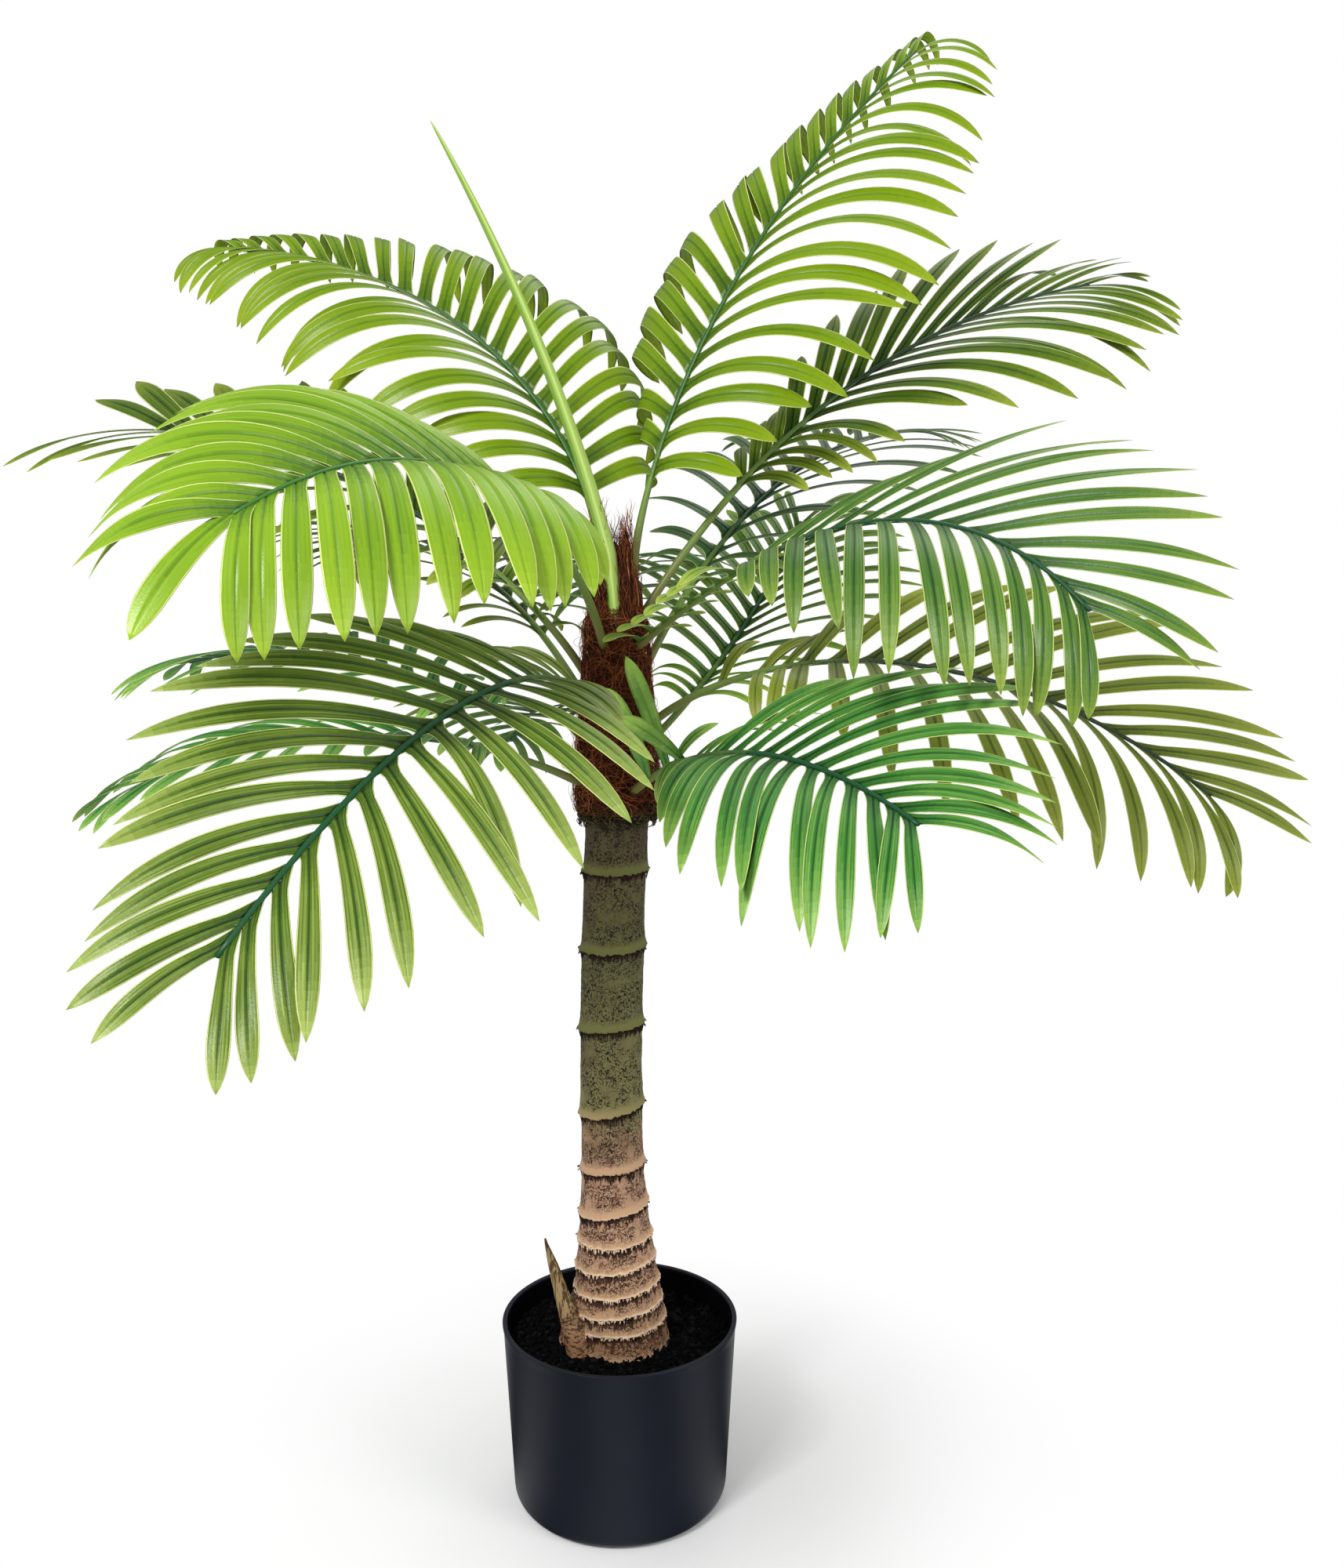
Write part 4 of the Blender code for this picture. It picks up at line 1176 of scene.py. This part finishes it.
def fibre_paths(dice, count, low, high, length, stand, steepness, curl, steps=9):
    """Curling paths over the wrap: heights low to high, standing a little off its surface."""
    turn = dice.uniform(0, 2 * pi, count)
    height = dice.uniform(low, high, count)
    slope = dice.normal(0, steepness, count) + dice.choice([0.0, pi], count)
    bend = dice.normal(0, curl, count)
    reach = dice.uniform(*length, count)
    off = dice.uniform(*stand, count)
    bulge = np.abs(dice.normal(0, 1.0, count)) * stand[1]
    made = np.empty((count, steps, 3))
    for k in range(steps):
        radius = coat_radius(height) + off + bulge * sin(pi * k / (steps - 1))
        radius = radius * (1 - 0.5 * np.clip((height - high + 0.008) / 0.018, 0, 1) ** 2)
        made[:, k] = rolled_up(turn / (2 * pi), radius, height)
        step = reach / (steps - 1)
        height = np.clip(height + step * np.sin(slope), low - 0.003, high + 0.010)
        turn = turn + step * np.cos(slope) / radius
        slope = slope + bend / (steps - 1)
    return made


def coir_threads(dice, name, paths, widths, mat):
    """Strands of the wrap, each of its own width."""
    threads(name, np.array(paths), dice.uniform(*widths, len(paths)), mat,
            "fibre_wrap")


def make_wrap():
    dice = np.random.default_rng(SEED + 3)
    core_mat, tree = set_up("coir_core", 0.95, 0.1)
    tone = speckle(tree, 240, (1, 1, 0.5)).ramp((0.35, (26, 12, 6)), (0.7, (72, 35, 17)))
    coloured(core_mat, tone, grain(tree, 420), 0.0012)
    around, along = unrolled(70, 60)
    height = WRAP_FOOT + along * WRAP_SPLIT
    radius = coat_radius(height) - 0.0016
    radius += 0.0016 * ripple(dice, around, along, 9, 7)
    radius += 0.0009 * ripple(dice, around, along, 30, 40)
    radius *= np.clip((1.0 - along) / 0.07, 0.04, 1) ** 0.5
    stem("coir_core", rolled_up(around, radius, height), [core_mat], "coir_brown", "fibre_wrap")
    coats = {name: plain(name, linear(colour), 0.85, 0.2, None) for name, colour in COIR.items()}
    for name, (count, widths, stand) in STRANDS.items():
        paths = fibre_paths(dice, count, WRAP_FOOT + 0.008, WRAP_FOOT + WRAP_SPLIT,
                            (0.018, 0.055), stand, 0.7, 2.4)
        coir_threads(dice, f"{name}_strands", paths, widths, coats[name])
    for name in ("collar_olive", "collar_dark"):
        paths = fibre_paths(dice, COLLAR_STRAWS, WRAP_FOOT - 0.002, WRAP_FOOT + 0.013,
                            (0.004, 0.013), (0.0000, 0.0013), 1.0, 1.6, 5)
        coir_threads(dice, f"{name}_straw", paths, (0.0004, 0.0010), coats[name])
    make_sheaths(dice, core_mat, coats)


def make_sheaths(dice, core_mat, coats):
    """The wrap's ragged upper ends: fibrous columns that stand apart round the stalks."""
    points, faces = [], []
    hairs = {name: [] for name in SHREDS}
    rows, columns = 26, 18
    for azimuth, foot, top, half in SHEATHS:
        heading = radians(azimuth)
        out = np.array((cos(heading), sin(heading), 0.0))
        side = np.array((-sin(heading), cos(heading), 0.0))

        def middle_at(share, rise):
            """Middle of the column at a share of it, at a height above the trunk."""
            depth = COLUMN_DEPTH[0] + COLUMN_DEPTH[1] * share
            return out * (coat_radius(WRAP_FOOT + rise) - depth) + (0, 0, WRAP_FOOT + rise)

        around, along = unrolled(rows, columns)
        ruffle = 1 + 0.30 * ripple(dice, around, along, 7, 9)
        for k in range(rows):
            share = k / (rows - 1)
            middle = middle_at(share, foot + (top - foot) * share)
            slim = (1 - 0.35 * share ** 1.6) * min(1.0, (1 - share) / 0.14 + 0.12)
            for j in range(columns):
                angle = 2 * pi * j / columns
                spot = side * (cos(angle) * half) + out * (sin(angle) * COLUMN_THICK)
                points.append(middle + spot * slim * ruffle[k, j])
        faces += ring_faces(rows, columns, len(points) - rows * columns)
        for name, (count, most) in SHREDS.items():
            for _ in range(int(count * half / 0.006)):
                start = dice.uniform(foot, top - 0.004)
                reach = dice.uniform(0.3, 1.0) * most
                angle = dice.uniform(0, 2 * pi)
                curl, loops = dice.uniform(0, 2 * pi, 2), dice.uniform(2.0, 8.0, 2)
                lean = dice.normal(0, 0.10, 2)
                path = []
                for share in np.linspace(0, 1, 9):
                    rise = start + reach * share
                    along = min((rise - foot) / (top - foot), 1.0)
                    slim = 1 - 0.35 * along ** 1.6
                    bend = 0.0012 * np.sin(curl + loops * share) + lean * reach * share ** 2
                    path.append(middle_at(along, rise)
                                + side * (cos(angle) * half * slim * 1.05 + bend[0])
                                + out * (sin(angle) * COLUMN_THICK * slim / 0.9 + bend[1]))
                hairs[name].append(path)
    piece("coir_columns", points, faces, [core_mat], "fibre_wrap")
    for name, paths in hairs.items():
        widths = (0.0007, 0.0014) if name == "dry_sheath" else (0.00024, 0.00042)
        coir_threads(dice, f"{name}_shreds", paths, widths, coats[name])


def make_spear():
    """The pleated unopened leaf, whose root bends down into the wrap."""
    dice = random.Random(SEED + 4)
    materials = [plain(name, linear(colour), 0.42, 0.3) for name, colour in SPEAR_COLOURS.items()]
    steps, sides = 60, 18
    foot = Vector((*SPEAR_FOOT, WRAP_TOP + GAP + SPEAR_RADIUS * cos(radians(SPEAR_RISE))))
    points = []
    for step in range(-SPEAR_ROOT_STEPS, steps + 1):
        share = max(step, 0) / steps
        depth = max(-step, 0) / SPEAR_ROOT_STEPS
        slope = radians(SPEAR_RISE + (SPEAR_END - SPEAR_RISE) * share
                        + (90 - SPEAR_RISE) * min(1.6 * depth, 1.0))
        ahead = direction(radians(180 if depth else SPEAR_AZIMUTH), slope)
        if step <= 0:
            aside = SPEAR_SHIFT + SPEAR_ROOT_REACH * sin(pi / 2 * depth)
            point = foot + Vector((aside, 0, -SPEAR_ROOT * depth))
        across = ahead.cross(Vector((0, 1, 0))).normalized()
        other = ahead.cross(across)
        radius = SPEAR_TIP_RADIUS + (SPEAR_RADIUS - SPEAR_TIP_RADIUS) * (1 - share) ** 0.55
        for k in range(sides):
            angle = 2 * pi * k / sides + share * 0.5
            pleat = 1.0 + (SPEAR_PLEAT if k % 2 else -SPEAR_PLEAT)
            points.append(point + (across * cos(angle) + other * sin(angle)) * radius * pleat)
        point = point + ahead * SPEAR_LENGTH / steps
    strips = [dice.choice((0, 1, 1, 2)) for _ in range(sides)]
    rows = steps + SPEAR_ROOT_STEPS
    piece("pleated_spear", points, ring_faces(rows + 1, sides), materials,
          "spear_leaf", strips * rows + [1, 0])


def floor_material():
    """Pale near the plant, and plain white further out."""
    mat, tree = set_up("pale_floor", 0.9, 0.0)
    coloured(mat, (0.9, 0.9, 0.9, 1))
    where = Signal(node(tree, "ShaderNodeTexCoord"), "Object")
    split = node(tree, "ShaderNodeSeparateXYZ", Vector=where)
    turn = Signal(split, "Y").maths("ARCTAN2", Signal(split, "X"))
    # Rays of painted light that only glossy surfaces see in the floor, as painted highlights on the
    # pot
    rays = (turn * FLOOR_RAYS + radians(FLOOR_TURN)).maths("COSINE")
    mean, swing = FLOOR_STRENGTH
    mirrored = Signal(node(tree, "ShaderNodeLightPath"), "Is Glossy Ray")
    glow = node(tree, "ShaderNodeEmission", Strength=mirrored * (rays * swing + (mean - 1)) + 1.0)
    away = node(tree, "ShaderNodeVectorMath", operation="LENGTH")
    feed(away.inputs[0], where)
    joined = node(tree, "ShaderNodeMixShader")
    share = Signal(away, "Value").fade(*FLOOR_FADE).maths("MAXIMUM", mirrored)
    lit = Signal(tree.nodes["Principled BSDF"])
    for socket, value in zip(joined.inputs, (share, lit, Signal(glow))):
        feed(socket, value)
    feed(tree.nodes["Material Output"].inputs["Surface"], Signal(joined))
    return mat


def make_studio():
    mesh = bpy.data.meshes.new("floor")
    reach = 60.0
    corners = [(x * reach, y * reach, 0) for x, y in ((-1, -1), (1, -1), (1, 1), (-1, 1))]
    mesh.from_pydata(corners, [], [(0, 1, 2, 3)])
    mesh.materials.append(floor_material())
    floor = place_object("floor", mesh)
    floor.location.z = -0.0002
    world = bpy.data.worlds.new("studio")
    world.use_nodes = True
    background = world.node_tree.nodes["Background"]
    feed(background.inputs["Color"], (1, 1, 1, 1))
    path = node(world.node_tree, "ShaderNodeLightPath")
    seen, mirrored = Signal(path, "Is Camera Ray"), Signal(path, "Is Glossy Ray")
    feed(background.inputs["Strength"],
         seen * (1.0 - AMBIENT) + mirrored * (MIRRORED - AMBIENT) + AMBIENT)
    bpy.context.scene.world = world
    for name, (place, aim, size, power) in LIGHTS.items():
        light = bpy.data.lights.new(name, "AREA")
        light.shape = "SQUARE"
        light.size = size
        light.energy = power
        lamp = place_object(name, light)
        lamp.location = place
        down = Vector((0, 0, aim)) - lamp.location
        lamp.rotation_euler = down.to_track_quat("-Z", "Y").to_euler()


def make_camera():
    lens = bpy.data.cameras.new("camera")
    lens.sensor_fit = "AUTO"
    lens.sensor_width = SENSOR
    lens.lens = FOCAL / PHOTO_HEIGHT * SENSOR
    camera = place_object("camera", lens)
    camera.location = CAMERA_PLACE
    camera.rotation_euler = (radians(CAMERA_TILT), 0, 0)
    bpy.context.scene.camera = camera
    bpy.context.scene.view_settings.view_transform = "Standard"


make_camera()
make_studio()
make_trunk()
make_side_shoot()
make_pot()
make_soil()
make_wrap()
make_spear()
make_fronds()
